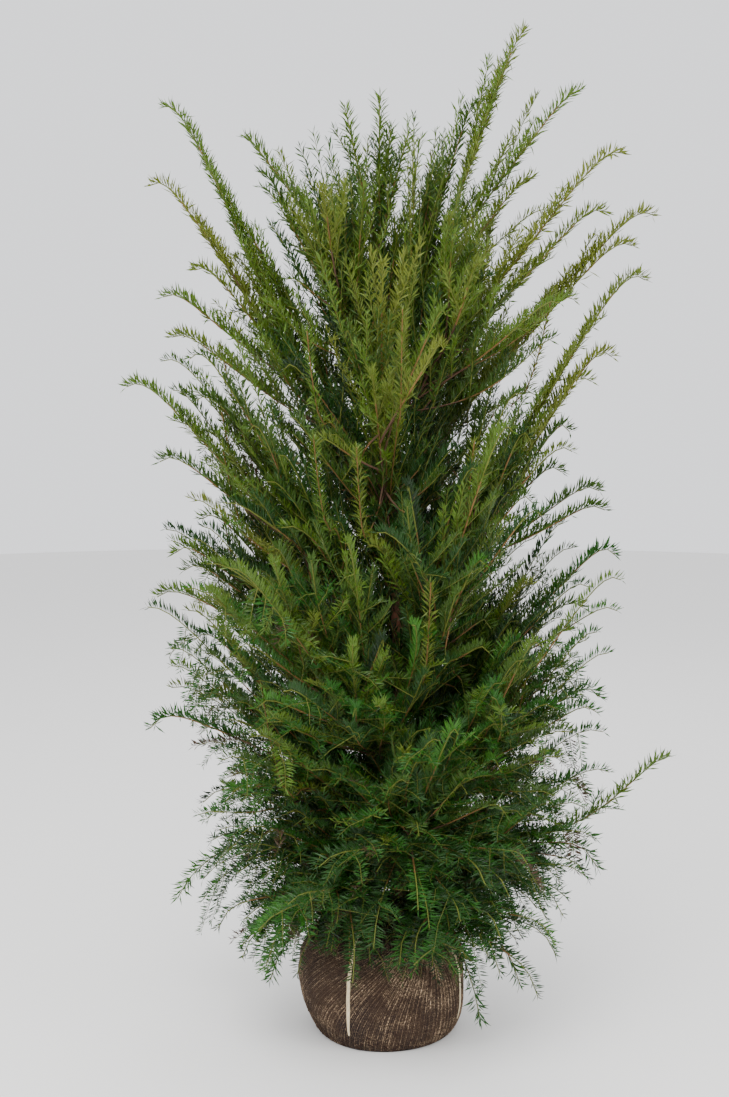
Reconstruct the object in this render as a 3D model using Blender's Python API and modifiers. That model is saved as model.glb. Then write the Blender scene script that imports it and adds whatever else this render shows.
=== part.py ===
"""A columnar yew, 2.1 m tall, standing on its root ball wrapped in hessian.

Metres, +Z up, origin at the middle of the ball's flat underside, front towards -Y.
Boughs leave the trunk on a golden-angle spiral and rise along one family of arching lines. Each carries
one mass of needled shoots, which keeps to its own cell round the bough's line, so that no two masses meet.
"""

import math
import random

import bmesh
import bpy
import numpy as np
from mathutils import Vector

# Root ball
BALL_RADIUS = 0.181
BALL_BELLY = 0.100  # height of the widest ring
BALL_TOP = 0.265
BALL_TOP_FLAT = 0.080  # radius of the level patch that the trunk and the collar stand on
BALL_LOW_POWER = 3.0  # squareness of the outline below the belly
BALL_HIGH_POWER = 2.4
BALL_LOW_DEPTH = 0.145  # how far down the outline would close, below the flat underside
BALL_RINGS = 6  # rings below and above the belly, each
BALL_SIDES = 36

# Collar of gathered hessian round the foot of the trunk, and the twine that ties the ball
COLLAR_HEIGHT = 0.026
COLLAR_WALL = 0.011
COLLAR_SPACE = 0.0012  # round the trunk's foot
COLLAR_SIDES = 20
TIE_RADIUS = 0.0045
TIE_FIRST_TURN = math.radians(-113)
TIE_SPACE = 0.0001  # between the twine's flat sides and the ball's corners
TIE_COUNT = 4
TIE_NAMES = ("front_left", "front_right", "back_right", "back_left")

# Trunk
TRUNK_TOP = 1.60
FOOT_RADIUS = 0.026
FLARE_HEIGHT = 0.045
TRUNK_RADIUS = 0.0175
TRUNK_TOP_RADIUS = 0.0045
TRUNK_TAPER = 0.8  # below 1, it thins more in its lower part
FLARE_RINGS = (0.0, 0.012, 0.030)  # heights above its foot
TRUNK_RINGS = 12  # above the flare
TRUNK_BEVEL = 4  # roundness of its section
TRUNK_FOOT_X = 0.038
TRUNK_TOP_X = -0.006
LEAN_FROM = 0.70  # height at which the trunk starts to lean over to its top's x
LEAN_LENGTH = 0.75
BACKWARD_BOW = 0.008

# The family of lines that boughs and shoots follow. A line's rank says how high it starts: 0 for the lowest
# of the skirt, 1 for the last below the leader. It climbs by its slope, less its sag for each metre out
# squared.
LOWEST_LINE = -0.1
RANK_STEP = 0.1
LINE_STARTS = (0.305, 0.315, 0.345, 0.38, 0.44, 0.53, 0.66, 0.83, 1.03, 1.22, 1.36, 1.46, 1.56, 1.80)
LINE_SLOPES = (-0.10, 0.02, 0.26, 0.54, 0.82, 1.02, 1.16, 1.26, 1.32, 1.50, 2.20, 3.60, 6.50, 14.0)
LINE_SAGS = (4.00, 1.60, 1.10, 0.70, 0.45, 0.30, 0.25, 0.25, 0.25, 0.35, 0.60, 0.80, 1.00, 1.00)
LINE_REACHES = (0.25, 0.28, 0.33, 0.36, 0.37, 0.37, 0.37, 0.37, 0.36, 0.30, 0.18, 0.10, 0.08, 0.04)
RANKS = [LOWEST_LINE + i * RANK_STEP for i in range(len(LINE_STARTS))]
HALVINGS = 24  # in the search for the line through a place

# Boughs
BOUGH_COUNT = 26
LOWEST_RANK = 0.03
HIGHEST_RANK = 0.95
LEADER_RANK = 1.0  # lines above this belong to the leader's mass
GOLDEN_ANGLE = math.radians(137.508)
FIRST_TURN = math.radians(-52.5)
BOUGH_SHARE = 0.25  # of the reach, before the mass begins
BOUGH_RADIUS = 0.0068
BOUGH_TIP_RADIUS = 0.0042
BOUGH_POINTS = 4
LIMB_BEVEL = 1  # a bough's or a tie's section has eight sides
LIMB_SIDES = 8
SLENDER_TRUNK = 0.011  # boughs thin with the trunk where its radius is below this

# Masses of foliage
GIRTH = 0.30  # metres of cell width for each radian round the trunk
SPREAD = 1.80  # metres of cell height for each unit of rank
STEEPNESS = 0.6  # metres across sloping lines for each metre of cell height
SPACE = 0.0045  # every mass stays this far inside its cell
GAP = 0.0003  # where two parts face each other
FLOOR_SPACE = 0.035
BALL_SPACE = 0.018
SHOOT_LENGTH = 2.7  # of all shoots in a mass together
FAN_STEPS = 9  # shoots spread over a cell before the next lie between them
FAN_ROUNDS = 5
FAN_FIRST = 0.8  # how far from the middle the first lies, as a share of a step
FAN_RADIUS = 0.23
REACH_SHARES = ((0.85, 1.00), (0.50, 0.65), (1.05, 1.30))  # of the line's reach, by turns
SHOOT_BASE = 0.40  # of the reach, over which the shoots leave the stem
FAN_SPACE = 0.06
FAN_ROOM = 0.03  # from a shoot's line to the cell's edge
FAN_PULL = 0.12  # share of the way back to the stem's line, while a shoot's line has too little room
FAN_PULLS = 20
FAN_POWER = 1.7  # above 1, shoots part early from the stem and run side by side further out
STEM_RADIUS = 0.0062  # to the corners of its three sides
CORE_RADII = (0.0, 0.034, 0.046, 0.034, 0.014)  # of the close inner sprays, at the stem's first rings
CORE_TRIES = (1.0, 0.75, 0.5, 0.25, 0.0)
SHOOT_RADIUS = 0.0027
SHOOT_TIP_RADIUS = 0.0016
SEGMENT = 0.078  # length of shoot for each ring of needles
NEEDLE = 0.082  # each stands for a spray of real ones
NEEDLE_TIP_SHARE = 0.36  # of that length, at a shoot's tip
NEEDLE_SLANT = math.radians(50)  # from the shoot
NEEDLE_TRIES = (1.0, 0.7, 0.45)  # of its length, the longest that has room
NEEDLE_SPACES = ((0.4, 0.020), (0.7, 0.015), (1.0, 0.010))  # from other shoots, at shares of its length
TIP_SPACE = 0.028
NEEDLE_LIFT = 0.35  # tips both upper ranks towards the top of the shoot
NOD = 0.045  # how far a shoot's tip bends down
NOD_POWER = 7
NOD_SLOPE = 1.3  # shoots on lines steeper than this nod less
CORNER_TURNS = [i * 2 * math.pi / 3 for i in range(3)]  # of a shoot's section
ERECT_SLOPE = 2.3  # shoots on lines steeper than this have needles all round
LEADER_STEP = 0.045  # between the shoots that part from the leader
ROUNDING = 0.000001
SEED = 11

# Tips of the longest shoots: to the right of the ball's middle, behind it, and up. They make the outline
# that a viewer in front sees, and may lie nearer to that viewer or further off.
VIEWER = Vector((-0.036, -3.43, 1.45))
TIP_SHIFTS = (0.0, -0.06, 0.06, -0.12, 0.12)
ENOUGH_ROOM = 0.04
MORE_ROOM = 0.005  # that a shift must bring
LONG_TIPS = {
    "top": (0.292, 0.0, 2.115),
    "top_right": (0.407, 0.0, 1.996),
    "right_9": (0.495, 0.0, 1.869),
    "right_8": (0.562, 0.0, 1.743),
    "right_7": (0.548, 0.0, 1.610),
    "right_6": (0.482, 0.0, 1.451),
    "right_5": (0.396, 0.0, 1.294),
    "right_4": (0.473, 0.0, 1.129),
    "right_3": (0.496, 0.0, 1.033),
    "right_2": (0.469, 0.0, 0.726),
    "right_1": (0.616, 0.0, 0.595),
    "right_0": (0.471, 0.0, 0.348),
    "left_10": (-0.283, 0.0, 1.901),
    "left_9": (-0.447, 0.0, 1.962),
    "left_8": (-0.476, 0.0, 1.804),
    "left_7": (-0.456, 0.0, 1.575),
    "left_6": (-0.439, 0.0, 1.492),
    "left_5": (-0.535, 0.0, 1.388),
    "left_4": (-0.468, 0.0, 1.231),
    "left_3": (-0.439, 0.0, 1.037),
    "left_2": (-0.478, 0.0, 0.943),
    "left_1": (-0.497, 0.0, 0.658),
    "left_0": (-0.442, 0.0, 0.283),
    "skirt_left": (-0.237, -0.10, 0.135),
    "skirt_right": (0.293, -0.12, 0.132),
    "skirt_front": (0.207, -0.15, 0.066),
}
LATE_TIPS = ("right_1",)
LEADER_TIPS = (
    (-0.005, 0.000, 1.985),
    (-0.076, -0.030, 1.955),
    (0.053, -0.020, 1.905),
    (0.020, 0.060, 1.930),
)

SIDES = ("right", "back_right", "back", "back_left", "left", "front_left", "front", "front_right")


def material(name, colour, roughness):
    made = bpy.data.materials.new(name)
    made.use_nodes = True
    shader = made.node_tree.nodes["Principled BSDF"]
    shader.inputs["Base Color"].default_value = (*colour, 1.0)
    shader.inputs["Roughness"].default_value = roughness
    return made


def start_scene():
    """Clears the scene and makes the collection that the parts go in, and the one for cutters."""
    for old in list(bpy.data.objects):
        bpy.data.objects.remove(old)
    parts, cutters = (bpy.data.collections.new(name) for name in ("columnar_yew", "cutters"))
    bpy.context.scene.collection.children.link(parts)
    bpy.context.scene.collection.children.link(cutters)
    return parts, cutters


def add(name, data, collection, finish=None):
    made = bpy.data.objects.new(name, data)
    collection.objects.link(made)
    if finish:
        data.materials.append(finish)
    return made


def turned(name, outline, steps, collection, finish):
    """A solid of revolution about Z from an outline of (radius, height) points that starts at its top."""
    mesh = bpy.data.meshes.new(name)
    edges = [(i, i + 1) for i in range(len(outline) - 1)]
    mesh.from_pydata([(r, 0.0, z) for r, z in outline], edges, [])
    made = add(name, mesh, collection, finish)
    screw = made.modifiers.new("turn", "SCREW")
    screw.steps = screw.render_steps = steps
    screw.use_merge_vertices = True
    screw.merge_threshold = 0.0001
    screw.use_smooth_shade = True
    return made


def tube(name, points, radii, bevel_resolution, collection, finish):
    """A round limb through the points, with flat ends."""
    curve = bpy.data.curves.new(name, "CURVE")
    curve.dimensions = "3D"
    curve.bevel_depth = 1.0
    curve.bevel_resolution = bevel_resolution
    curve.use_fill_caps = True
    spline = curve.splines.new("POLY")
    spline.points.add(len(points) - 1)
    for point, place, radius in zip(spline.points, points, radii):
        point.co = (*place, 1.0)
        point.radius = radius
    return add(name, curve, collection, finish)


def taper(thick, thin, count):
    """Radii that go evenly from thick to thin."""
    return [thick + (thin - thick) * i / (count - 1) for i in range(count)]


def as_mesh(obj, collection, finish):
    """The evaluated curve object as a closed mesh object of the same name and place."""
    graph = bpy.context.evaluated_depsgraph_get()
    mesh = bpy.data.meshes.new_from_object(obj.evaluated_get(graph))
    shape = bmesh.new()
    shape.from_mesh(mesh)
    bmesh.ops.remove_doubles(shape, verts=shape.verts, dist=0.00001)
    bmesh.ops.recalc_face_normals(shape, faces=shape.faces)
    shape.to_mesh(mesh)
    shape.free()
    name, place = obj.name, obj.matrix_world.copy()
    bpy.data.objects.remove(obj)
    mesh.materials.clear()
    made = add(name, mesh, collection, finish)
    made.matrix_world = place
    return made


def ball_radius(height):
    """Radius of the root ball's side at a height."""
    if height < BALL_BELLY:
        depth, power = (BALL_BELLY - height) / BALL_LOW_DEPTH, BALL_LOW_POWER
    else:
        depth, power = (height - BALL_BELLY) / (BALL_TOP - BALL_BELLY), BALL_HIGH_POWER
    return BALL_RADIUS * max(0.0, 1 - depth**power) ** (1 / power)


def ball_outline():
    """Side of the root ball from the edge of its level top to the edge of its underside."""
    flat_edge = (BALL_TOP_FLAT / BALL_RADIUS) ** BALL_HIGH_POWER
    shoulder = BALL_BELLY + (BALL_TOP - BALL_BELLY) * (1 - flat_edge) ** (1 / BALL_HIGH_POWER)
    turns = [math.pi / 2 * i / BALL_RINGS for i in range(BALL_RINGS + 1)]
    high = [BALL_BELLY + (shoulder - BALL_BELLY) * math.cos(turn) for turn in turns]
    low = [BALL_BELLY * (1 - math.sin(turn)) for turn in turns[1:]]
    return [(ball_radius(height), height) for height in high + low]


def root_ball(collection, finish):
    outline = ball_outline()
    closed = [(0.0, BALL_TOP), (BALL_TOP_FLAT, BALL_TOP), *outline[1:], (0.0, 0.0)]
    made = turned("root_ball", closed, BALL_SIDES, collection, finish)
    made.rotation_euler.z = TIE_FIRST_TURN  # so that the ties lie along its corners
    return made


def collar(collection, finish):
    """The hessian gathered round the foot of the trunk, standing on the ball."""
    x, y = trunk_axis(BALL_TOP)
    inner = FOOT_RADIUS + COLLAR_SPACE
    low = BALL_TOP + GAP
    shape = ((0.0, 0.85), (0.55, 1.0), (0.95, 0.8), (0.75, 0.45), (1.25, 0.0), (0.0, 0.0), (0.0, 0.85))
    outline = [(inner + COLLAR_WALL * wide, low + COLLAR_HEIGHT * tall) for wide, tall in shape]
    made = turned("hessian_collar", outline, COLLAR_SIDES, collection, finish)
    made.location = (x, y, 0.0)
    return made


def tie(index, collection, finish):
    """One strand of twine, from under the foliage over the shoulder and down the side of the ball."""
    turn = TIE_FIRST_TURN + index * 2 * math.pi / TIE_COUNT
    outline = ball_outline()[1:-3]
    points, off = [], TIE_RADIUS * math.cos(math.pi / LIMB_SIDES) + TIE_SPACE
    for i, (radius, height) in enumerate(outline):
        before, after = outline[max(i - 1, 0)], outline[min(i + 1, len(outline) - 1)]
        along = Vector((after[0] - before[0], after[1] - before[1])).normalized()
        out, up = radius - along.y * off, height + along.x * off
        points.append((out * math.cos(turn), out * math.sin(turn), up))
    radii = taper(TIE_RADIUS, TIE_RADIUS, len(points))
    return tube(f"tie_{TIE_NAMES[index]}", points, radii, LIMB_BEVEL, collection, finish)


def trunk_axis(height):
    """Where the middle of the trunk is at a height."""
    turn = math.pi * min(max((height - LEAN_FROM) / LEAN_LENGTH, 0.0), 1.0)
    share = (1 - math.cos(turn)) / 2
    return TRUNK_FOOT_X + (TRUNK_TOP_X - TRUNK_FOOT_X) * share, BACKWARD_BOW * math.sin(turn)


def trunk_radius(height):
    above = max(0.0, height - BALL_TOP)
    flare = (FOOT_RADIUS - TRUNK_RADIUS) * math.exp(-3 * above / FLARE_HEIGHT)
    share = above / (TRUNK_TOP - BALL_TOP)
    return flare + TRUNK_RADIUS + (TRUNK_TOP_RADIUS - TRUNK_RADIUS) * share**TRUNK_TAPER


def trunk(name, more, collection, finish):
    """The whole trunk, from its flat foot on the ball to where the leader's mass begins. more widens it."""
    heights = [BALL_TOP + GAP + ring for ring in FLARE_RINGS]
    step = (TRUNK_TOP - heights[-1]) / TRUNK_RINGS
    heights += [heights[-1] + step * (i + 1) for i in range(TRUNK_RINGS)]
    points = [(*trunk_axis(height), height) for height in heights]
    points[1] = (*points[0][:2], heights[1])  # the first stretch is upright, so that the foot is level
    radii = [trunk_radius(height) + more for height in heights]
    made = tube(name, points, radii, TRUNK_BEVEL, collection, finish)
    return as_mesh(made, collection, finish)


def at_rank(rank, values):
    return float(np.interp(rank, RANKS, values))


def line(turn, rank, out):
    """A point on the line of a rank that leaves the trunk towards turn, at a distance out from the trunk."""
    start = at_rank(rank, LINE_STARTS)
    x, y = trunk_axis(start)
    height = start + at_rank(rank, LINE_SLOPES) * out - at_rank(rank, LINE_SAGS) * out * out
    return Vector((x + out * math.cos(turn), y + out * math.sin(turn), height))


def line_of(place):
    """The turn, rank and distance out of the line that passes through a place."""
    low, high = RANKS[0], RANKS[-1]
    for _ in range(HALVINGS):
        rank = (low + high) / 2
        x, y = trunk_axis(at_rank(rank, LINE_STARTS))
        out = math.hypot(place.x - x, place.y - y)
        turn = math.atan2(place.y - y, place.x - x)
        if line(turn, rank, out).z < place.z:
            low = rank
        else:
            high = rank
    return turn, rank, out


def between(turn, other):
    """The angle from one turn to another, the short way."""
    return (turn - other + math.pi) % (2 * math.pi) - math.pi


def apart(turn, rank, other_turn, other_rank):
    """How far it is from one line to another where they are GIRTH out from the trunk."""
    return math.hypot(between(turn, other_turn) * GIRTH, (rank - other_rank) * SPREAD)


SEATS = [
    (FIRST_TURN + i * GOLDEN_ANGLE, LOWEST_RANK + (HIGHEST_RANK - LOWEST_RANK) * i / (BOUGH_COUNT - 1))
    for i in range(BOUGH_COUNT)
]


def cell_of(turn, rank):
    """The bough whose cell a line runs in, and the room from there to the cell's edge."""
    if rank > LEADER_RANK:
        return BOUGH_COUNT, (rank - LEADER_RANK) * SPREAD
    spans = [apart(turn, rank, *seat) for seat in SEATS]
    own = min(range(BOUGH_COUNT), key=spans.__getitem__)
    room = (LEADER_RANK - rank) * SPREAD
    for other, seat in enumerate(SEATS):
        if other != own:
            room = min(room, (spans[other] ** 2 - spans[own] ** 2) / (2 * apart(*SEATS[own], *seat)))
    return own, room


def fits(place, index):
    """Whether a place is inside a mass's cell, clear of the cell's edge, the root ball and the floor."""
    turn, rank, out = line_of(place)
    own, room = cell_of(turn, rank)
    if own != index or place.z < FLOOR_SPACE:
        return False
    beside_ball = math.hypot(place.x, place.y) < ball_radius(min(place.z, BALL_TOP)) + BALL_SPACE
    if place.z < BALL_TOP + BALL_SPACE and beside_ball:
        return False
    return room * min(out / GIRTH, STEEPNESS) > SPACE


def bough_name(index):
    turn, _ = SEATS[index]
    side = SIDES[round(turn / (math.pi / 4)) % len(SIDES)]
    return f"{index + 1:02d}_{side}"


def bough_end(index):
    """How far out a bough reaches before its mass begins."""
    return BOUGH_SHARE * at_rank(SEATS[index][1], LINE_REACHES)


def slimness(index):
    """How much thinner a bough is than those on the thick part of the trunk."""
    return min(1.0, trunk_radius(at_rank(SEATS[index][1], LINE_STARTS)) / SLENDER_TRUNK)


def bough(index, cutter, collection, finish):
    """One tapering limb from the trunk to its mass, cut to the trunk's side."""
    turn, rank = SEATS[index]
    slim = slimness(index)
    radii = taper(slim * BOUGH_RADIUS, slim * BOUGH_TIP_RADIUS, BOUGH_POINTS)
    points = [line(turn, rank, bough_end(index) * i / (BOUGH_POINTS - 1)) for i in range(BOUGH_POINTS)]
    near, far = stem_path(index)[:2]
    last_stretch = (points[-1] - points[-2]).length
    points[-2] = points[-1] - (far - near).normalized() * last_stretch  # so that its end faces the stem's
    made = tube(f"bough_{bough_name(index)}", points, radii, LIMB_BEVEL, collection, finish)
    made = as_mesh(made, collection, finish)
    cut = made.modifiers.new("cut_to_trunk", "BOOLEAN")
    cut.operation, cut.object = "DIFFERENCE", cutter
    return made


def shoot_path(start_line, end_line, out, reach, late=False):
    """Points from one line to another on the way outwards, with a nodding tip.

    A late shoot changes over far out, the others early.
    """
    length = (line(*start_line, out) - line(*end_line, reach)).length
    count = max(3, round(length / SEGMENT))
    nod = nod_of(end_line[1])
    points = []
    for i in range(count + 1):
        share = i / count
        swing = share**2 if late else 1 - (1 - share) ** FAN_POWER
        turn = start_line[0] + between(end_line[0], start_line[0]) * swing
        rank = start_line[1] + (end_line[1] - start_line[1]) * swing
        place = line(turn, rank, out + (reach - out) * share)
        place.z -= nod * share**NOD_POWER
        points.append(place)
    return points


def stem_path(index):
    """The path of a mass's own stem, along its bough's line."""
    seat = SEATS[index]
    return shoot_path(seat, seat, bough_end(index), at_rank(seat[1], LINE_REACHES))


def nod_of(rank):
    """How far a tip bends down: the steep shoots at the top stay nearly straight."""
    return NOD * NOD_SLOPE / max(at_rank(rank, LINE_SLOPES), NOD_SLOPE)


def is_free(root, tip, others, taken):
    """Whether a needle keeps off the other shoots and the tips of other needles."""
    if any((tip - other).length < TIP_SPACE for other in taken):
        return False
    for share, space in NEEDLE_SPACES:
        point = root.lerp(tip, share)
        for path, radii in others:
            for i in range(len(path) - 1):
                step = path[i + 1] - path[i]
                along = min(max((point - path[i]).dot(step) / step.length_squared, 0.0), 1.0)
                radius = radii[i] + (radii[i + 1] - radii[i]) * along
                if (point - path[i] - step * along).length < space + radius:
                    return False
    return True


def frame_at(points, along):
    """Where a path is at a number of steps along it, with the directions ahead, across and up."""
    step = min(int(along + ROUNDING), len(points) - 2)
    share = along - step
    before = max(step - 1, 0) if share < ROUNDING else step
    ahead = (points[step + 1] - points[before]).normalized()
    across = Vector((0, 0, 1)).cross(ahead).normalized()
    return points[step].lerp(points[step + 1], share), ahead, across, ahead.cross(across)


def needled_shoot(name, points, radii, index, erect, others, taken, collection):
    """A three-sided shoot along the points, with needles drawn out of its sides where they have room.

    An erect shoot has needles all round, the others only on their two upper sides. others holds the paths of
    the mass's other shoots with their radii, and taken the tips of its needles so far.
    """
    stretches = len(points) - 1
    shape = bmesh.new()
    size = {"radius1": 1.0, "radius2": 1.0, "depth": stretches}
    bmesh.ops.create_cone(shape, cap_ends=True, cap_tris=True, segments=len(CORNER_TURNS), **size)
    long_edges = [e for e in shape.edges if abs(e.verts[0].co.z - e.verts[1].co.z) > 0.5]
    bmesh.ops.subdivide_edges(shape, edges=long_edges, cuts=stretches - 1, use_grid_fill=True)
    sides = [f for f in shape.faces if abs(f.normal.z) < 0.5]

    def place(x, y, along, more=0.0):
        """A point of the straight shoot carried to the bent one. more draws it out and ahead, to a needle."""
        middle, ahead, across, up = frame_at(points, along)
        step = min(int(along + ROUNDING), stretches - 1)
        radius = radii[step] + (radii[step + 1] - radii[step]) * (along - step)
        out = radius + more * math.sin(NEEDLE_SLANT)
        return middle + (across * x + up * y) * out + ahead * (more * math.cos(NEEDLE_SLANT))

    tips = {}
    for side in sides:
        centre = side.calc_center_median()
        out = Vector((centre.x, centre.y)).normalized()
        along = centre.z + stretches / 2
        if out.y > 0:
            out = (out + Vector((0, NEEDLE_LIFT))).normalized()
        elif not erect:
            continue
        length = NEEDLE * (1 - (1 - NEEDLE_TIP_SHARE) * (along / stretches) ** 2)
        root = place(out.x, out.y, along)
        for share in NEEDLE_TRIES:
            tip = place(out.x, out.y, along, length * share)
            if fits(tip, index) and is_free(root, tip, others, taken):
                tips[side] = tip
                taken.append(tip)
                break
    moved = {}
    for side, tip in tips.items():
        moved[bmesh.ops.poke(shape, faces=[side])["verts"][0]] = tip
    for vert in shape.verts:
        vert.co = moved[vert] if vert in moved else place(vert.co.x, vert.co.y, vert.co.z + stretches / 2)
    mesh = bpy.data.meshes.new(name)
    shape.to_mesh(mesh)
    shape.free()
    return add(name, mesh, collection)


def shoot_length(index, end):
    """About how long a shoot is from the middle of its mass's stem to its tip."""
    turn, rank, reach, _ = end
    return (line(turn, rank, reach) - line(*SEATS[index], reach * SHOOT_BASE)).length


def roomiest(tip, late):
    """The line for a long shoot's tip, moved along the viewer's line of sight to where it has the most room.

    A late shoot rises to its tip, so it comes from a mass that starts lower.
    """
    best = None
    for shift in TIP_SHIFTS:
        place = VIEWER + (Vector(tip) - VIEWER) * (1 - shift / VIEWER.y)
        nod = 0.0
        for _ in range(3):
            turn, rank, out = line_of(place + Vector((0, 0, nod)))
            nod = nod_of(rank)
        own, room = cell_of(turn, rank)
        from_above = late and SEATS[own][1] > rank
        room = -1.0 if from_above else min(room, ENOUGH_ROOM)
        if best is None or room > best[0] + MORE_ROOM:
            best = room, (turn, rank, out)
    return best[1]


def fan(index, chance):
    """The turn, rank and reach that a mass's shoots end on, and whether they change over late.

    First come the long tips that lie in its cell, then others spread over the cell.
    """
    ends = []
    for name, tip in LONG_TIPS.items():
        turn, rank, out = roomiest(tip, name in LATE_TIPS)
        if cell_of(turn, rank)[0] == index:
            ends.append((turn, rank, out, name in LATE_TIPS))
    turn, rank = SEATS[index]
    phase = chance.uniform(0, 2 * math.pi)
    step = 0
    total = sum(shoot_length(index, end) for end in ends)
    while total < SHOOT_LENGTH and step < FAN_ROUNDS * FAN_STEPS:
        angle = phase + step * GOLDEN_ANGLE
        spread = FAN_RADIUS * math.sqrt((step % FAN_STEPS + FAN_FIRST) / FAN_STEPS)
        step += 1
        side = turn + spread * math.cos(angle) / GIRTH
        height = max(rank + spread * math.sin(angle) / SPREAD, LOWEST_RANK)
        for _ in range(FAN_PULLS):
            own, room = cell_of(side, height)
            if own == index and room > FAN_ROOM:
                break
            side += between(turn, side) * FAN_PULL
            height += (rank - height) * FAN_PULL
        share = chance.uniform(*REACH_SHARES[step % len(REACH_SHARES)])
        end = (side, height, share * at_rank(height, LINE_REACHES), False)
        if all(apart(*end[:2], *other[:2]) > FAN_SPACE for other in ends):
            ends.append(end)
            total += shoot_length(index, end)
    return ends


def keep_largest_body(mesh):
    """Drops loose scraps and the walls of sealed hollows, which fills the hollows."""
    shape = bmesh.new()
    shape.from_mesh(mesh)
    bmesh.ops.dissolve_degenerate(shape, dist=0.000005, edges=shape.edges)
    unseen, bodies = set(shape.faces), []
    while unseen:
        body, newest = set(), {unseen.pop()}
        while newest:
            body |= newest
            edges = {edge for face in newest for edge in face.edges if len(edge.link_faces) == 2}
            newest = {face for edge in edges for face in edge.link_faces} - body
        unseen -= body
        bodies.append(body)
    largest = max(bodies, key=len)
    bmesh.ops.delete(shape, geom=[face for face in shape.faces if face not in largest], context="FACES")
    shape.to_mesh(mesh)
    shape.free()


def joined(name, pieces, collection, finish):
    """The pieces, which are in one collection, as one solid."""
    holder = bpy.data.collections.new(name + "_pieces")
    for piece in pieces[1:]:
        collection.objects.unlink(piece)
        holder.objects.link(piece)
    stem = pieces[0]
    join = stem.modifiers.new("join", "BOOLEAN")
    join.operation, join.operand_type, join.collection = "UNION", "COLLECTION", holder
    join.solver = "MANIFOLD"  # EXACT leaves doubled edges where shoots part close together
    graph = bpy.context.evaluated_depsgraph_get()
    mesh = bpy.data.meshes.new_from_object(stem.evaluated_get(graph))
    for piece in pieces:
        bpy.data.objects.remove(piece)
    bpy.data.collections.remove(holder)
    mesh.materials.clear()
    keep_largest_body(mesh)
    return add(name, mesh, collection, finish)


def nearest_on(path, place):
    """The place on a path's straight stretches that is nearest to another place."""
    found = []
    for near, far in zip(path, path[1:]):
        step = far - near
        found.append(near + step * min(max((place - near).dot(step) / step.length_squared, 0.0), 1.0))
    return min(found, key=lambda spot: (spot - place).length)


def core_radii(stem, index):
    """Radius of a stem with the close inner sprays round it, at each of its points."""
    radii = taper(slimness(index) * STEM_RADIUS, SHOOT_TIP_RADIUS, len(stem))
    for i, core in enumerate(CORE_RADII[: len(stem) - 1]):
        middle, _, across, up = frame_at(stem, i)
        outward = [up * math.cos(turn) + across * math.sin(turn) for turn in CORNER_TURNS]
        for share in CORE_TRIES:
            radius = max(radii[i], core * share)
            if all(fits(middle + way * radius, index) for way in outward):
                break
        radii[i] = radius
    return radii


def foliage(index, collection, finish):
    """One mass: a stem that carries on from its bough, with needled shoots that fan out from it."""
    turn, rank = SEATS[index]
    chance = random.Random(SEED + index)
    first = bough_end(index)
    reach = at_rank(rank, LINE_REACHES)
    ends = sorted(fan(index, chance), key=lambda end: -apart(turn, rank, *end[:2]))
    stem = stem_path(index)
    stem[0] += (stem[1] - stem[0]).normalized() * GAP
    shoots = [(stem, core_radii(stem, index))]
    for number, (end_turn, end_rank, end_reach, late) in enumerate(ends):
        out = first + SHOOT_BASE * reach * (number + 0.5) / len(ends)
        path = shoot_path((turn, rank), (end_turn, end_rank), out, end_reach, late)
        path[0] = nearest_on(stem, path[0])
        shoots.append((path, taper(slimness(index) * SHOOT_RADIUS, SHOOT_TIP_RADIUS, len(path))))
    pieces, taken = [], []
    for number, (path, radii) in enumerate(shoots):
        erect = number == 0 or at_rank(ends[number - 1][1], LINE_SLOPES) > ERECT_SLOPE
        others = shoots[:number] + shoots[number + 1 :]
        pieces.append(needled_shoot(f"shoot_{number}", path, radii, index, erect, others, taken, collection))
    return joined(f"foliage_{bough_name(index)}", pieces, collection, finish)


def leader_foliage(collection, finish):
    """The mass at the top, on the trunk's own tip."""
    x, y = trunk_axis(TRUNK_TOP)
    foot = Vector((x, y, TRUNK_TOP + GAP))
    shoots = []
    for number, end in enumerate(LEADER_TIPS):
        base = foot + Vector((0, 0, LEADER_STEP * number))
        tip = Vector(end)
        count = round((tip - base).length / SEGMENT)
        path = [base.lerp(tip, i / count) for i in range(count + 1)]
        shoots.append((path, taper(TRUNK_TOP_RADIUS, SHOOT_TIP_RADIUS, len(path))))
    pieces, taken = [], []
    for number, (path, radii) in enumerate(shoots):
        name, others = f"shoot_{number}", shoots[:number] + shoots[number + 1 :]
        pieces.append(needled_shoot(name, path, radii, BOUGH_COUNT, True, others, taken, collection))
    return joined("foliage_leader", pieces, collection, finish)


def main():
    parts, cutters = start_scene()
    hessian = material("hessian", (0.062, 0.040, 0.030), 0.95)
    twine = material("twine", (0.78, 0.70, 0.50), 0.80)
    bark = material("bark", (0.20, 0.095, 0.055), 0.85)
    needles = material("needles", (0.045, 0.115, 0.020), 0.45)
    root_ball(parts, hessian)
    collar(parts, hessian)
    for index in range(TIE_COUNT):
        tie(index, parts, twine)
    trunk("trunk", 0.0, parts, bark)
    cutter = trunk("trunk_clearance", GAP, cutters, bark)
    cutter.hide_render = True
    cutter.display_type = "WIRE"
    for index in range(BOUGH_COUNT):
        bough(index, cutter, parts, bark)
        foliage(index, parts, needles)
    leader_foliage(parts, needles)


main()
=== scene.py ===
"""A columnar yew on its root ball: the finish of every surface, and the fine twigs and needles.

The plain solids of the same plant are its frame. Metres, +Z up, origin under the middle of the ball, and the
front is -Y.
"""

import math
import random

import bmesh
import bpy
import numpy as np
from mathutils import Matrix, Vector, noise


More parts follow.
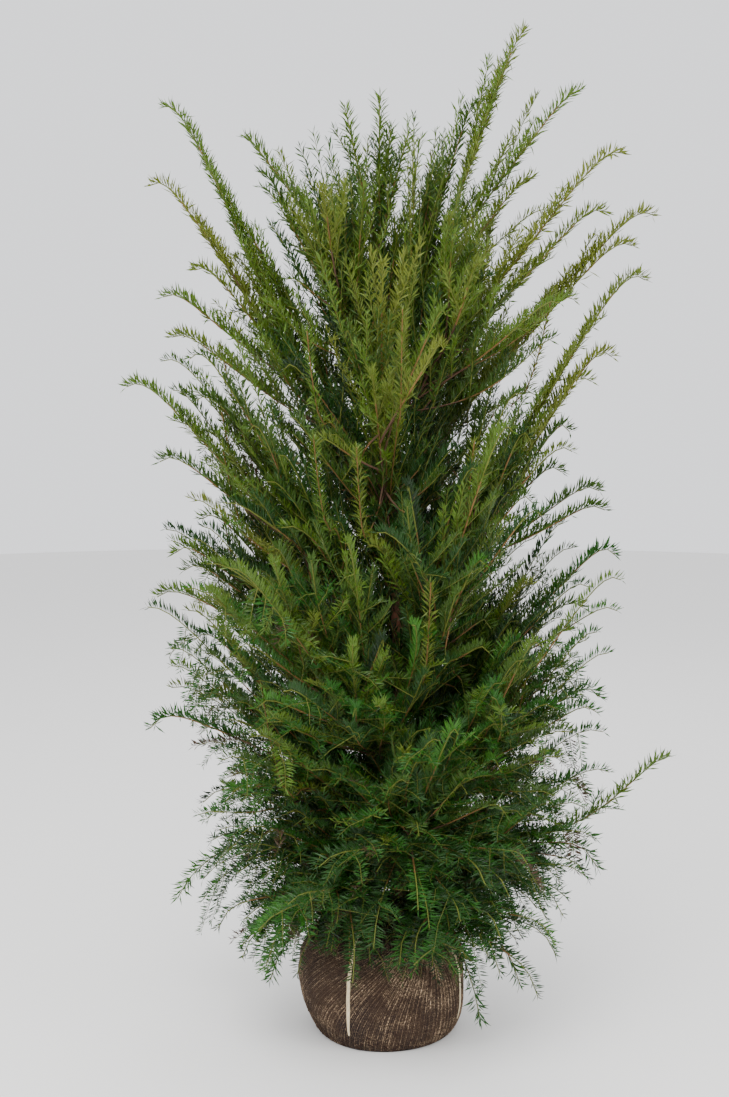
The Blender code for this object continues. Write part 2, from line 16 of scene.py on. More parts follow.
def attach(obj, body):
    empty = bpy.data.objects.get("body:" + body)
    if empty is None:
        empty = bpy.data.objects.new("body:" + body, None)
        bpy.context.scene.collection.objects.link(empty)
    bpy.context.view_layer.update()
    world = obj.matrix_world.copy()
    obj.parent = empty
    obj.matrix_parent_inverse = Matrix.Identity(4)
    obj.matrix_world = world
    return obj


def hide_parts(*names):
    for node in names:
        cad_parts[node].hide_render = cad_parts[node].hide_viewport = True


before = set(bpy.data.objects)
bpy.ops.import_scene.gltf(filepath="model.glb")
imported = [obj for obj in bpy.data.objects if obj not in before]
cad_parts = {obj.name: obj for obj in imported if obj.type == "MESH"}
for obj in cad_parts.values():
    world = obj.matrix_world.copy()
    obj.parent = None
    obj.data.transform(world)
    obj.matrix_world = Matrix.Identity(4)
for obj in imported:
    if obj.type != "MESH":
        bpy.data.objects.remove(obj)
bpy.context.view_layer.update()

# Studio
# The plant stands on a plain pale floor in an even pale surround. Four soft round lights hang above its
# front, at its two sides and behind it.
EYE = (-0.036, -3.43, 1.45)
EYE_TILT = math.radians(6.7)  # below level
EYE_LENS = 53.4
FLOOR_RADIUS = 9.0
FLOOR_DROP = 0.0004
FLOOR_SIDES = 96
FLOOR_COLOUR = (0.80, 0.79, 0.77)
SURROUND_COLOUR = (0.93, 0.94, 0.97)
SURROUND_STRENGTH = 1.55
SOFT_LIGHTS = {  # each one's place, what it is turned to, its width and its power
    "soft_light_above": ((-0.6, -2.6, 4.2), (0.0, 0.0, 1.1), 3.0, 210.0),
    "soft_light_left": ((-3.6, -1.6, 1.9), (0.0, 0.0, 1.0), 2.2, 70.0),
    "soft_light_right": ((3.4, -2.0, 1.7), (0.0, 0.0, 0.9), 2.2, 70.0),
    "soft_light_behind": ((0.8, 3.2, 3.6), (0.0, 0.0, 1.2), 2.4, 45.0),
}

lens = bpy.data.cameras.new("eye")
lens.lens = EYE_LENS
lens.sensor_width = 36.0
eye = bpy.data.objects.new("eye", lens)
eye.location = EYE
eye.rotation_euler = (math.pi / 2 - EYE_TILT, 0.0, 0.0)
bpy.context.scene.collection.objects.link(eye)
bpy.context.scene.camera = eye

for name, (place, aim, size, power) in SOFT_LIGHTS.items():
    light = bpy.data.lights.new(name, "AREA")
    light.shape = "DISK"
    light.size = size
    light.energy = power
    lamp = bpy.data.objects.new(name, light)
    lamp.location = place
    lamp.rotation_euler = (Vector(place) - Vector(aim)).to_track_quat("Z", "Y").to_euler()
    bpy.context.scene.collection.objects.link(lamp)

surround = bpy.data.worlds.new("surround")
surround.use_nodes = True
surround.node_tree.nodes["Background"].inputs["Color"].default_value = (*SURROUND_COLOUR, 1.0)
surround.node_tree.nodes["Background"].inputs["Strength"].default_value = SURROUND_STRENGTH
bpy.context.scene.world = surround


def both_ways(operation):
    """A sum as two methods of a wire: with the wire before the sign, and with the wire after it."""
    return (
        lambda wire, other: wire.maker.sum(operation, wire, other),
        lambda wire, other: wire.maker.sum(operation, other, wire),
    )


class Wire:
    """A socket in a node tree, with the sums that are done on its value."""

    __add__, __radd__ = both_ways("ADD")
    __sub__, __rsub__ = both_ways("SUBTRACT")
    __mul__, __rmul__ = both_ways("MULTIPLY")
    __truediv__, __rtruediv__ = both_ways("DIVIDE")
    __pow__, __rpow__ = both_ways("POWER")
    __mod__, __rmod__ = both_ways("FLOORED_MODULO")

    def __init__(self, maker, socket):
        self.maker = maker
        self.socket = socket

    def clamped(self):
        return self.maker.sum("MAXIMUM", self.maker.sum("MINIMUM", self, 1.0), 0.0)

    def sine(self):
        return self.maker.sum("SINE", self)

    def cosine(self):
        return self.maker.sum("COSINE", self)

    def vector(self, operation, *values):
        return self.maker.node("ShaderNodeVectorMath", (self, *values), operation=operation)

    def scaled(self, factor):
        return self.maker.node("ShaderNodeVectorMath", {"Vector": self, "Scale": factor}, operation="SCALE")


class Maker:
    """Adds nodes to a tree."""

    def __init__(self, tree):
        self.tree = tree

    def node(self, kind, values=(), output=0, **settings):
        """A node of a kind, with its settings, and values or links for its sockets in order or by name."""
        made = self.tree.nodes.new(kind)
        for name, value in settings.items():
            setattr(made, name, value)
        sockets = [socket for socket in made.inputs if socket.enabled]
        if isinstance(values, dict):
            pairs = [(next(s for s in sockets if s.name == name), value) for name, value in values.items()]
        else:
            pairs = zip(sockets, values)
        for socket, value in pairs:
            if isinstance(value, Wire):
                self.tree.links.new(value.socket, socket)
            elif value is not None:
                socket.default_value = value
        outputs = [socket for socket in made.outputs if socket.enabled]
        chosen = next(s for s in outputs if s.name == output) if isinstance(output, str) else outputs[output]
        return Wire(self, chosen)

    def sum(self, operation, *values):
        return self.node("ShaderNodeMath", values, operation=operation)

    def mixed(self, share, first, second):
        """A colour between two others."""
        first, second = (v if isinstance(v, Wire) else (*v, 1.0) for v in (first, second))
        return self.node("ShaderNodeMix", (share, first, second), data_type="RGBA")

    def noise(self, place, scale, detail=3.0, rough=0.5, output="Fac"):
        values = {"Vector": place, "Scale": scale, "Detail": detail, "Roughness": rough}
        return self.node("ShaderNodeTexNoise", values, output)

    def ramp(self, value, low, high):
        """0 below low, 1 above high and even between them."""
        return self.node("ShaderNodeMapRange", (value, low, high, 0.0, 1.0))


class Finish(Maker):
    """A material on a Principled shader."""

    def __init__(self, name, colour=(0.5, 0.5, 0.5), roughness=0.6, specular=0.5):
        self.material = bpy.data.materials.new(name)
        self.material.use_nodes = True
        super().__init__(self.material.node_tree)
        self.shader = self.tree.nodes["Principled BSDF"]
        self.put("Base Color", (*colour, 1.0))
        self.put("Roughness", roughness)
        self.put("Specular IOR Level", specular)

    def put(self, socket, value):
        if isinstance(value, Wire):
            self.tree.links.new(value.socket, self.shader.inputs[socket])
        else:
            self.shader.inputs[socket].default_value = value

    def relief(self, height, depth):
        """Bumps the surface by a pattern of heights from 0 to 1."""
        bump = self.node("ShaderNodeBump", {"Strength": 1.0, "Distance": depth, "Height": height})
        self.put("Normal", bump)

    def place(self, stretch=(1.0, 1.0, 1.0)):
        """Where a point is on the piece, in metres, with each axis stretched."""
        spot = self.node("ShaderNodeTexCoord", (), "Object")
        return self.node("ShaderNodeMapping", {"Vector": spot, "Scale": stretch})


def piece_of(name, mesh, *materials):
    """A mesh as an object of the scene, with its materials."""
    made = bpy.data.objects.new(name, mesh)
    bpy.context.scene.collection.objects.link(made)
    for each in materials:
        mesh.materials.append(each)
    return made


floor_finish = Finish("pale_floor", FLOOR_COLOUR, 0.55, 0.3)
floor_mesh = bpy.data.meshes.new("pale_floor")
floor_rim = []
for i in range(FLOOR_SIDES):
    turn = math.tau * i / FLOOR_SIDES
    floor_rim.append((FLOOR_RADIUS * math.cos(turn), FLOOR_RADIUS * math.sin(turn), -FLOOR_DROP))
floor_mesh.from_pydata(floor_rim, [], [tuple(range(FLOOR_SIDES))])
pale_floor = piece_of("pale_floor", floor_mesh, floor_finish.material)

# Root ball
# The ball of soil is wrapped in an open cloth of jute. It is drawn over to one side and knotted beside the
# foot of the trunk, so its threads lean over towards the knot as they come up the ball.
BALL_RADIUS = 0.181
BALL_BELLY = 0.100
BALL_TOP = 0.265
BALL_LOW_POWER = 3.0
BALL_HIGH_POWER = 2.4
BALL_LOW_DEPTH = 0.145
CLOTH_TURNS = 240  # faces round the ball
CLOTH_RINGS = 56
CLOTH_UNDER = 0.16  # share of the way up the cloth where its level underside ends
CLOTH_SIDE = 0.80  # and where its side ends
CLOTH_EDGE = 0.985  # of the ball's height, at the top of the side
CLOTH_EASING = 0.35  # how far its rings close up at the top and the bottom of the side
KNOT_TURN = math.radians(-52)
KNOT_PULL = 0.90  # how far the threads are drawn together at the knot
KNOT_UPS = (0.16, 0.50)  # up the cloth, where they start to lean, and over how far they do
KNOT_POWER = 2.2
OVER_UPS = (0.35, 0.35)  # where the cloth starts to turn in over the ball, and over how far it does
KNOT_RISE = 0.013
KNOT_WIDTH = 0.30
SLUMP_TURN = math.radians(-172)  # where soil has fallen away from the ball's lower side
SLUMP_WIDTH = 0.85
SLUMP_DEPTH = 0.022
SLUMP_HEIGHT = 0.11
CLOTH_LUMP = 0.0040
LUMP_SCALE = 14.0
PLEAT_COUNT = 30
PLEAT_DEPTH = 0.0026
PLEAT_WANDER = 5.0  # how far the pleats swing to the side
PLEAT_SCALE = 2.5
LEVEL_HEIGHT = 0.02  # below which the cloth gets smooth, towards its level underside
LEVEL_TOP = 0.8  # how much smoother it is at the collar
CLOTH_FACING = (0.25, 0.9)  # how far it faces up at the ball's side, and how much more over the ball
CLOTH_RIM = 0.25  # share of the way in to the collar over which it still rises
COLLAR_OUTSIDE = 0.040  # where the cloth goes under the collar
TRUNK_FOOT_X = 0.038
WARP_COUNT = 88
WEFT_COUNT = 60
WEAVE_RELIEF = 0.0040
HALVINGS = 24  # of a range, to find a place in it


def ball_radius(height):
    """Radius of the root ball's side at a height."""
    if height < BALL_BELLY:
        depth, power = (BALL_BELLY - height) / BALL_LOW_DEPTH, BALL_LOW_POWER
    else:
        depth, power = (height - BALL_BELLY) / (BALL_TOP - BALL_BELLY), BALL_HIGH_POWER
    return BALL_RADIUS * max(0.0, 1 - min(depth, 1.0) ** power) ** (1 / power)


def between(turn, other):
    """The angle from one direction to another, from -180 to 180 degrees."""
    return (turn - other + math.pi) % math.tau - math.pi


def nearness(turn, other, width):
    """1 where two directions are the same, falling to 0 away from each other."""
    return math.exp(-((between(turn, other) / width) ** 2))


def faded(value, start, span):
    """0 at the start of a span to 1 at its end, and level beyond both."""
    return min(1.0, max(0.0, (value - start) / span))


def drawn_over(thread, up):
    """How far a thread of the cloth has been drawn towards the knot."""
    lean = between(thread, KNOT_TURN)
    return KNOT_PULL * lean * (1 - (lean / math.pi) ** 2) * faded(up, *KNOT_UPS) ** KNOT_POWER


def thread_at(turn, up):
    """The thread that passes a direction at a height of the cloth."""
    low, high = -math.pi, math.pi
    for _ in range(HALVINGS):
        lean = (low + high) / 2
        short = lean - drawn_over(KNOT_TURN + lean, up) < between(turn, KNOT_TURN)
        low, high = (lean, high) if short else (low, lean)
    return KNOT_TURN + lean


def cloth_point(thread, up, rise=0.0):
    """A point of the cloth on a thread, with up from 0 under the ball to 1 at the collar."""
    turn = thread - drawn_over(thread, up)
    top = faded(up, CLOTH_SIDE, 1 - CLOTH_SIDE)
    slump = SLUMP_DEPTH * nearness(turn, SLUMP_TURN, SLUMP_WIDTH)
    if up < CLOTH_UNDER:
        radius, height = (ball_radius(0.0) - slump) * up / CLOTH_UNDER, 0.0
    elif up < CLOTH_SIDE:
        swing = (up - CLOTH_UNDER) / (CLOTH_SIDE - CLOTH_UNDER)
        eased = (1 - math.cos(math.pi * swing)) / 2
        height = BALL_TOP * CLOTH_EDGE * ((1 - CLOTH_EASING) * swing + CLOTH_EASING * eased)
        radius = ball_radius(height) - slump * max(0.0, 1 - height / SLUMP_HEIGHT)
    else:
        edge = ball_radius(BALL_TOP * CLOTH_EDGE)
        radius = edge + (COLLAR_OUTSIDE - edge) * top
        height = BALL_TOP * (CLOTH_EDGE + (1 - CLOTH_EDGE) * min(1.0, top / CLOTH_RIM))
    x, y = radius * math.cos(turn) + TRUNK_FOOT_X * top, radius * math.sin(turn)
    over = faded(up, *OVER_UPS)
    knot = KNOT_RISE * nearness(turn, KNOT_TURN, KNOT_WIDTH)
    outward = Vector((math.cos(turn), math.sin(turn), CLOTH_FACING[0] + CLOTH_FACING[1] * over)).normalized()
    lump = CLOTH_LUMP * noise.noise(Vector((x, y, height)) * LUMP_SCALE)
    ripple = noise.noise(Vector((math.cos(thread), math.sin(thread), up)) * PLEAT_SCALE)
    pleat = PLEAT_DEPTH * over * math.sin(PLEAT_COUNT * thread + PLEAT_WANDER * ripple)
    level = min(1.0, height / LEVEL_HEIGHT) * (1 - LEVEL_TOP * top)
    place = Vector((x, y, height)) + outward * ((lump + pleat + knot * over) * level + rise)
    place.z = max(place.z, 0.0)
    return place


def turned_mesh(name, rings, closed_ends):
    """A mesh of closed rings of points, each joined to the next, mapped from 0 to 1 across and up."""
    count = len(rings[0])
    places = [place for ring in rings for place in ring]
    corners, maps = [], []
    for j in range(len(rings) - 1):
        for i in range(count):
            right = (i + 1) % count
            corners.append((j * count + i, j * count + right, (j + 1) * count + right, (j + 1) * count + i))
            low, high = j / (len(rings) - 1), (j + 1) / (len(rings) - 1)
            maps += [(i / count, low), ((i + 1) / count, low), ((i + 1) / count, high), (i / count, high)]
    for end, ring in enumerate((rings[0], rings[-1]) if closed_ends else ()):
        centre = sum((Vector(place) for place in ring), Vector()) / count
        places.append(centre)
        first = end * (len(rings) - 1) * count
        for i in range(count):
            pair = (first + i, first + (i + 1) % count)
            corners.append((len(places) - 1, *(pair if end else reversed(pair))))
            maps += [((i + 0.5) / count, float(end))] * 3
    mesh = bpy.data.meshes.new(name)
    mesh.from_pydata(places, [], corners)
    cloth_map = mesh.uv_layers.new(name="cloth")
    cloth_map.data.foreach_set("uv", [value for pair in maps for value in pair])
    mesh.shade_smooth()
    return mesh


cloth_rings = [
    [cloth_point(math.tau * i / CLOTH_TURNS, j / CLOTH_RINGS) for i in range(CLOTH_TURNS)]
    for j in range(1, CLOTH_RINGS + 1)
]
cloth_mesh = turned_mesh("hessian_wrap", cloth_rings, True)

SOIL_DARK = (0.019, 0.013, 0.013)
SOIL_WARM = (0.050, 0.029, 0.019)
JUTE_DULL = (0.130, 0.084, 0.054)
JUTE_PALE = (0.500, 0.355, 0.225)
hessian = Finish("soil_stained_hessian", SOIL_DARK, 0.95, 0.2)
weave_place = hessian.node("ShaderNodeUVMap", (), uv_map="cloth")
weave_across = hessian.node("ShaderNodeSeparateXYZ", (weave_place,), "X")
weave_up = hessian.node("ShaderNodeSeparateXYZ", (weave_place,), "Y")
wander = hessian.noise(hessian.place(), 34.0, 3.0)
warp_wave = ((weave_across * (WARP_COUNT * math.tau) + wander * 9.0).cosine() * 0.5 + 0.5) ** 2.0
weft_wave = ((weave_up * (WEFT_COUNT * math.tau) + wander * 12.0).sine() * 0.5 + 0.5) ** 2.0
patches = hessian.noise(hessian.place(), 12.0, 4.0, 0.6)
fibre = hessian.noise(hessian.place(), 380.0, 3.0, 0.7)
soil_colour = hessian.mixed(hessian.ramp(patches, 0.38, 0.62), SOIL_DARK, SOIL_WARM)
thread_share = (warp_wave * 0.55 + weft_wave * 0.30) * hessian.ramp(fibre, 0.40, 0.66)
hessian.put("Base Color", hessian.mixed((thread_share * 0.8).clamped(), soil_colour, JUTE_DULL))
hessian.relief(warp_wave * 0.8 + weft_wave * 0.5 + fibre * 0.9, WEAVE_RELIEF)
wrap = piece_of("hessian_wrap", cloth_mesh, hessian.material)
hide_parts("root_ball")
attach(wrap, "root")

# Jute net
# The coarse threads of the cloth stand out from the soil-filled weave: long warps that lean to the knot,
# broken wefts across them, and loose fibres teased out of both.
WARP_STEPS = 44
FINE_WARPS = 3  # threads to each warp, two of them thinner
WEFT_STEPS = 34
WEFT_SPANS = (0.4, 1.6)
WEFT_WAVE = 0.05
WEFT_WIDTHS = (0.20, 0.42)  # of the full radius, as are the other widths
WEFT_RISE = 0.4  # of the warps' rise
WARP_SCATTER = 0.3  # of the space between them
WARP_WIDTHS = (0.85, 1.25)
FINE_WIDTHS = (0.25, 0.45)
FIBRE_COUNT = 1000
FIBRE_STEPS = 5
FIBRE_LEAN = 0.12
FIBRE_LENGTHS = (0.02, 0.12)
FIBRE_CURL = 0.05
FIBRE_WIDTHS = (0.20, 0.40)
FIBRE_RISES = (1.0, 3.0)
THREAD_RADIUS = 0.00096
THREAD_RISE = 0.0006
THREAD_SIDES = 3
THREAD_WAVE = 0.012
THREAD_WEAR = 0.7
THREAD_STRETCH = (0.75, 0.45, 0.8)  # its width away from the knot, how much more at it, and how far round
THREAD_LOW = 0.02  # above the cloth's underside
THREAD_TOP = 0.97


class GeometryTree(Maker):
    """A geometry node tree with named inputs, ended by realized instances."""

    def __init__(self, name, inputs):
        tree = bpy.data.node_groups.new(name, "GeometryNodeTree")
        super().__init__(tree)
        tree.interface.new_socket("Geometry", in_out="INPUT", socket_type="NodeSocketGeometry")
        tree.interface.new_socket("Geometry", in_out="OUTPUT", socket_type="NodeSocketGeometry")
        self.identifiers = {}
        for title, kind in inputs.items():
            made = tree.interface.new_socket(title, in_out="INPUT", socket_type="NodeSocket" + kind)
            self.identifiers[title] = made.identifier
        self.entry = tree.nodes.new("NodeGroupInput")
        self.exit = tree.nodes.new("NodeGroupOutput")

    def given(self, title):
        return Wire(self, self.entry.outputs[title])

    def named(self, name, kind="FLOAT"):
        return self.node("GeometryNodeInputNamedAttribute", (name,), data_type=kind)

    def tube(self, size):
        """Tubes along the source's edges."""
        path = self.node("GeometryNodeMeshToCurve", (self.given("Geometry"),))
        ring = self.node("GeometryNodeCurvePrimitiveCircle", (self.given("Sides"), 1.0))
        return self.node("GeometryNodeCurveToMesh", (path, ring, size, True))

    def finished(self, geometry, title="Finish", chosen=None):
        """Gives the chosen faces, or all of them, the finish of an input."""
        return self.node("GeometryNodeSetMaterial", (geometry, chosen, self.given(title)))

    def end(self, geometry):
        whole = self.node("GeometryNodeRealizeInstances", (geometry,))
        self.tree.links.new(whole.socket, self.exit.inputs[0])
        return self

    def applied(self, source, name, values):
        """The plain mesh that the tree makes of a mesh, with values for its inputs."""
        holder = bpy.data.objects.new(name + "_source", source)
        bpy.context.scene.collection.objects.link(holder)
        modifier = holder.modifiers.new("grown", "NODES")
        modifier.node_group = self.tree
        for title, value in values.items():
            modifier[self.identifiers[title]] = value
        graph = bpy.context.evaluated_depsgraph_get()
        mesh = bpy.data.meshes.new_from_object(holder.evaluated_get(graph))
        mesh.name = name
        bpy.data.objects.remove(holder)
        bpy.data.meshes.remove(source)
        return mesh


def strands(name, paths, **numbers):
    """A mesh of open chains of edges through the paths' points. numbers holds each point's attributes."""
    mesh = bpy.data.meshes.new(name)
    places = np.concatenate(paths)
    edges, first = [], 0
    for path in paths:
        steps = np.arange(first, first + len(path) - 1)
        edges.append(np.stack([steps, steps + 1], axis=1))
        first += len(path)
    edges = np.concatenate(edges)
    mesh.vertices.add(len(places))
    mesh.edges.add(len(edges))
    mesh.vertices.foreach_set("co", places.astype(np.float32).ravel())
    mesh.edges.foreach_set("vertices", edges.astype(np.int32).ravel())
    for title, values in numbers.items():
        whole = np.asarray(values).dtype.kind in "iu"
        attribute = mesh.attributes.new(title, "INT" if whole else "FLOAT", "POINT")
        attribute.data.foreach_set("value", np.asarray(values, np.int32 if whole else np.float32))
    mesh.update()
    return mesh


jute = Finish("jute_thread", JUTE_PALE, 0.9, 0.2)
jute_tone = jute.noise(jute.place(), 26.0, 3.0, 0.6)
jute_speck = jute.noise(jute.place(), 310.0, 2.0)
jute_stain = jute.mixed(jute.ramp(jute_tone, 0.42, 0.66), JUTE_DULL, JUTE_PALE)
jute.put("Base Color", jute.mixed(jute.ramp(jute_speck, 0.40, 0.56) * 0.85, jute_stain, SOIL_WARM))

thread_tree = GeometryTree("threads", {"Radius": "Float", "Sides": "Int", "Finish": "Material"})
thread_tube = thread_tree.tube(thread_tree.given("Radius") * thread_tree.named("thickness"))
thread_tree.end(thread_tree.finished(thread_tube))

weaver = random.Random(5)
thread_paths, thread_thickness = [], []


def lay_thread(turns, ups, thick, rise):
    """Adds a thread that lies on the cloth along given threads and heights of it."""
    thread_paths.append(np.array([cloth_point(turn, up, rise) for turn, up in zip(turns, ups)]))
    for turn, up in zip(turns, ups):
        spot = Vector((math.cos(turn) * 2.2, math.sin(turn) * 2.2, up * 5.0))
        worn = 1.0 + THREAD_WEAR * noise.noise(spot)
        far, more, width = THREAD_STRETCH
        stretched = far + more * nearness(turn, KNOT_TURN, width)
        thread_thickness.append(thick * worn * stretched)


for i in range(FINE_WARPS * WARP_COUNT):
    place = math.tau * (i + weaver.uniform(-WARP_SCATTER, WARP_SCATTER)) / (FINE_WARPS * WARP_COUNT)
    height = THREAD_TOP - CLOTH_UNDER
    ups = [CLOTH_UNDER + THREAD_LOW / 2 + height * j / (WARP_STEPS - 1) for j in range(WARP_STEPS)]
    turns = [place + THREAD_WAVE * noise.noise(Vector((i * 3.1, up * 8.0, 0.0))) for up in ups]
    thick = weaver.uniform(*(WARP_WIDTHS if i % FINE_WARPS == 0 else FINE_WIDTHS))
    lay_thread(turns, ups, thick, THREAD_RISE)
for j in range(WEFT_COUNT):
    start, span = weaver.uniform(0.0, math.tau), weaver.uniform(*WEFT_SPANS)
    middle = weaver.uniform(CLOTH_UNDER + THREAD_LOW, CLOTH_SIDE)
    turns = [start + span * i / (WEFT_STEPS - 1) for i in range(WEFT_STEPS)]
    spots = [Vector((math.cos(turn), math.sin(turn), j * 2.3)) * 2.4 for turn in turns]
    ups = [middle + WEFT_WAVE * noise.noise(spot) for spot in spots]
    lay_thread(turns, ups, weaver.uniform(*WEFT_WIDTHS), THREAD_RISE * WEFT_RISE)
for j in range(FIBRE_COUNT):
    turn, up = weaver.uniform(0.0, math.tau), weaver.uniform(CLOTH_UNDER + THREAD_LOW, CLOTH_SIDE)
    across = weaver.gauss(0.0, FIBRE_LEAN)
    along = weaver.uniform(*FIBRE_LENGTHS)
    curl = weaver.gauss(0.0, FIBRE_CURL)
    shares = [i / (FIBRE_STEPS - 1) for i in range(FIBRE_STEPS)]
    turns = [turn + across * share + curl * math.sin(math.pi * share) for share in shares]
    ups = [min(THREAD_TOP, up + along * share) for share in shares]
    lay_thread(turns, ups, weaver.uniform(*FIBRE_WIDTHS), THREAD_RISE * weaver.uniform(*FIBRE_RISES))
thread_source = strands("jute_net", thread_paths, thickness=thread_thickness)
jute_mesh = thread_tree.applied(
    thread_source, "jute_net", {"Radius": THREAD_RADIUS, "Sides": THREAD_SIDES, "Finish": jute.material}
)
jute_net = piece_of("jute_net", jute_mesh)
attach(jute_net, "root")

# Soil crumbs
# Crumbs of dark soil cling to the cloth where it turns under the ball, most of them on its left side. Each is
# a small uneven lump.
CRUMB_COUNT = 170
CRUMB_SIZES = (0.0010, 0.0034)
CRUMB_TURNS = (math.radians(-125), 0.75)  # their middle and their spread
CRUMB_LOWEST = 0.006  # up the cloth from its underside
CRUMB_SPREAD = 0.05
CRUMB_SPACE = 0.0002  # off the cloth
CRUMB_LIFT = 0.002
soil = Finish("crumbled_soil", SOIL_WARM, 1.0, 0.1)
soil_grain = soil.noise(soil.place(), 520.0, 3.0, 0.6)
soil.put("Base Color", soil.mixed(soil.ramp(soil_grain, 0.35, 0.65), SOIL_DARK, SOIL_WARM))
soil.relief(soil_grain, 0.001)
crumb_values = {"Smallest": CRUMB_SIZES[0], "Largest": CRUMB_SIZES[1], "Seed": 3, "Finish": soil.material}
crumb_kinds = ("Float", "Float", "Int", "Material")
crumb_tree = GeometryTree("crumbs", dict(zip(crumb_values, crumb_kinds)))
smallest, largest, crumb_seed = (crumb_tree.given(title) for title in ("Smallest", "Largest", "Seed"))
crumb_ball = crumb_tree.node("GeometryNodeMeshIcoSphere", (1.0, 2))
crumb_size = crumb_tree.node(
    "FunctionNodeRandomValue", {"Min": smallest, "Max": largest, "Seed": crumb_seed}, data_type="FLOAT"
)
crumb_set = crumb_tree.node(
    "GeometryNodeInstanceOnPoints",
    {"Points": crumb_tree.given("Geometry"), "Instance": crumb_ball, "Scale": crumb_size},
)
crumb_whole = crumb_tree.node("GeometryNodeRealizeInstances", (crumb_set,))
crumb_spot = crumb_tree.node("GeometryNodeInputPosition")
crumb_lump = (crumb_tree.noise(crumb_spot, 420.0, 2.0) - 0.5) * largest
crumb_moved = crumb_tree.node(
    "GeometryNodeSetPosition",
    {"Geometry": crumb_whole, "Offset": crumb_tree.node("GeometryNodeInputNormal").scaled(crumb_lump)},
)
crumb_tree.end(crumb_tree.finished(crumb_moved))
crumb_source = bpy.data.meshes.new("crumb_places")
crumb_places = []
for _ in range(CRUMB_COUNT):
    turn = weaver.gauss(*CRUMB_TURNS)
    up = CLOTH_UNDER + abs(weaver.gauss(0.0, CRUMB_SPREAD)) + CRUMB_LOWEST
    crumb_places.append(cloth_point(turn, up, CRUMB_SPACE) + Vector((0.0, 0.0, CRUMB_LIFT)))
crumb_source.from_pydata(crumb_places, [], [])
crumbs = piece_of("soil_crumbs", crumb_tree.applied(crumb_source, "soil_crumbs", crumb_values))
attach(crumbs, "root")

# Collar
# The edge of the cloth is gathered round the foot of the trunk. There it stands up as a pleated ring on the
# ball, with the trunk inside it.
COLLAR_HEIGHT = 0.026
COLLAR_WALL = 0.011
COLLAR_INSIDE = 0.0272
COLLAR_GAP = 0.0003
COLLAR_TURNS = 168
COLLAR_PLEATS = 21
COLLAR_FOLD = 0.16  # how deep they are, as a share of its wall
COLLAR_UNEVEN = 1.6  # how unevenly they lie
COLLAR_WAVE = 0.10  # how much its edge goes up and down, as a share of its height
COLLAR_INNER = ((0.0, 0.02), (0.0, 0.85), (0.30, 1.0))  # shares of its wall and of its height
COLLAR_OUTER = ((0.62, 0.96), (0.80, 0.70), (0.72, 0.45), (1.0, 0.15), (1.25, 0.0))
collar_rings = []
for wide, tall in COLLAR_INNER + COLLAR_OUTER:
    ring = []
    for i in range(COLLAR_TURNS):
        turn = math.tau * i / COLLAR_TURNS
        fold = math.sin(COLLAR_PLEATS * turn + COLLAR_UNEVEN * math.sin(3 * turn))
        radius = COLLAR_INSIDE + COLLAR_WALL * wide * (1 - COLLAR_FOLD + COLLAR_FOLD * fold)
        wave = 1 - COLLAR_WAVE + COLLAR_WAVE * math.cos(2 * turn + 0.8 * fold)
        height = BALL_TOP + COLLAR_GAP + COLLAR_HEIGHT * tall * wave
        ring.append(Vector((TRUNK_FOOT_X + radius * math.cos(turn), radius * math.sin(turn), height)))
    collar_rings.append(ring)
collar_rings.reverse()
collar_rings.append(collar_rings[0])
collar = piece_of("pleated_collar", turned_mesh("pleated_collar", collar_rings, False), hessian.material)
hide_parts("hessian_collar")
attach(collar, "root")

# Ties
# Four cream ties hold the cloth. Each comes out from under the foliage as a twist of two strands, and runs
# down the side as a flat band that narrows to its end.
TIE_FIRST_TURN = math.radians(-113)
TIE_NAMES = ("front_left", "front_right", "back_right", "back_left")
TIE_UPS = (0.845, 0.275)  # from its top to its end, up the cloth
TIE_TWIST_SHARE = 0.30
TIE_JOIN = 0.03  # how far the twist runs on into the band
TIE_FLATTENING = 0.05  # over which the twist goes flat
TIE_WIDENING = 0.08  # over which the band gets its width
TIE_FIRST_WIDTH = 0.45  # of its width, where it starts
TIE_NARROWING = (0.80, 0.20, 0.45)  # where it starts to narrow, over how much, and by how much
TIE_STEPS = 90
TIE_SIDES = 8
TIE_STRAND = 0.0019  # radius of a strand
TIE_END_STRAND = 0.5  # what is left of it where the twist goes flat
TIE_STAND = 1.7  # how far off the cloth the twist's middle is, in radii
TIE_BAND_WIDTH = 0.0042
TIE_BAND_DEPTH = 0.0012
TIE_LAY = 0.013  # length of one turn of the twist
TIE_CREAM = (0.66, 0.56, 0.38)
TIE_STRAW = (0.50, 0.38, 0.21)
twine = Finish("cream_twine", TIE_CREAM, 0.75, 0.3)
twine_fibre = twine.noise(twine.place((1.0, 1.0, 0.12)), 900.0, 3.0, 0.6)
twine.put("Base Color", twine.mixed(twine.ramp(twine_fibre, 0.40, 0.66), TIE_CREAM, TIE_STRAW))
twine.relief(twine_fibre, 0.0008)


def tie_ring(centre, across, outward, wide, deep):
    """An oval of points round a spot of a tie."""
    turns = [math.tau * i / TIE_SIDES for i in range(TIE_SIDES)]
    return [centre + across * (wide * math.cos(turn)) + outward * (deep * math.sin(turn)) for turn in turns]


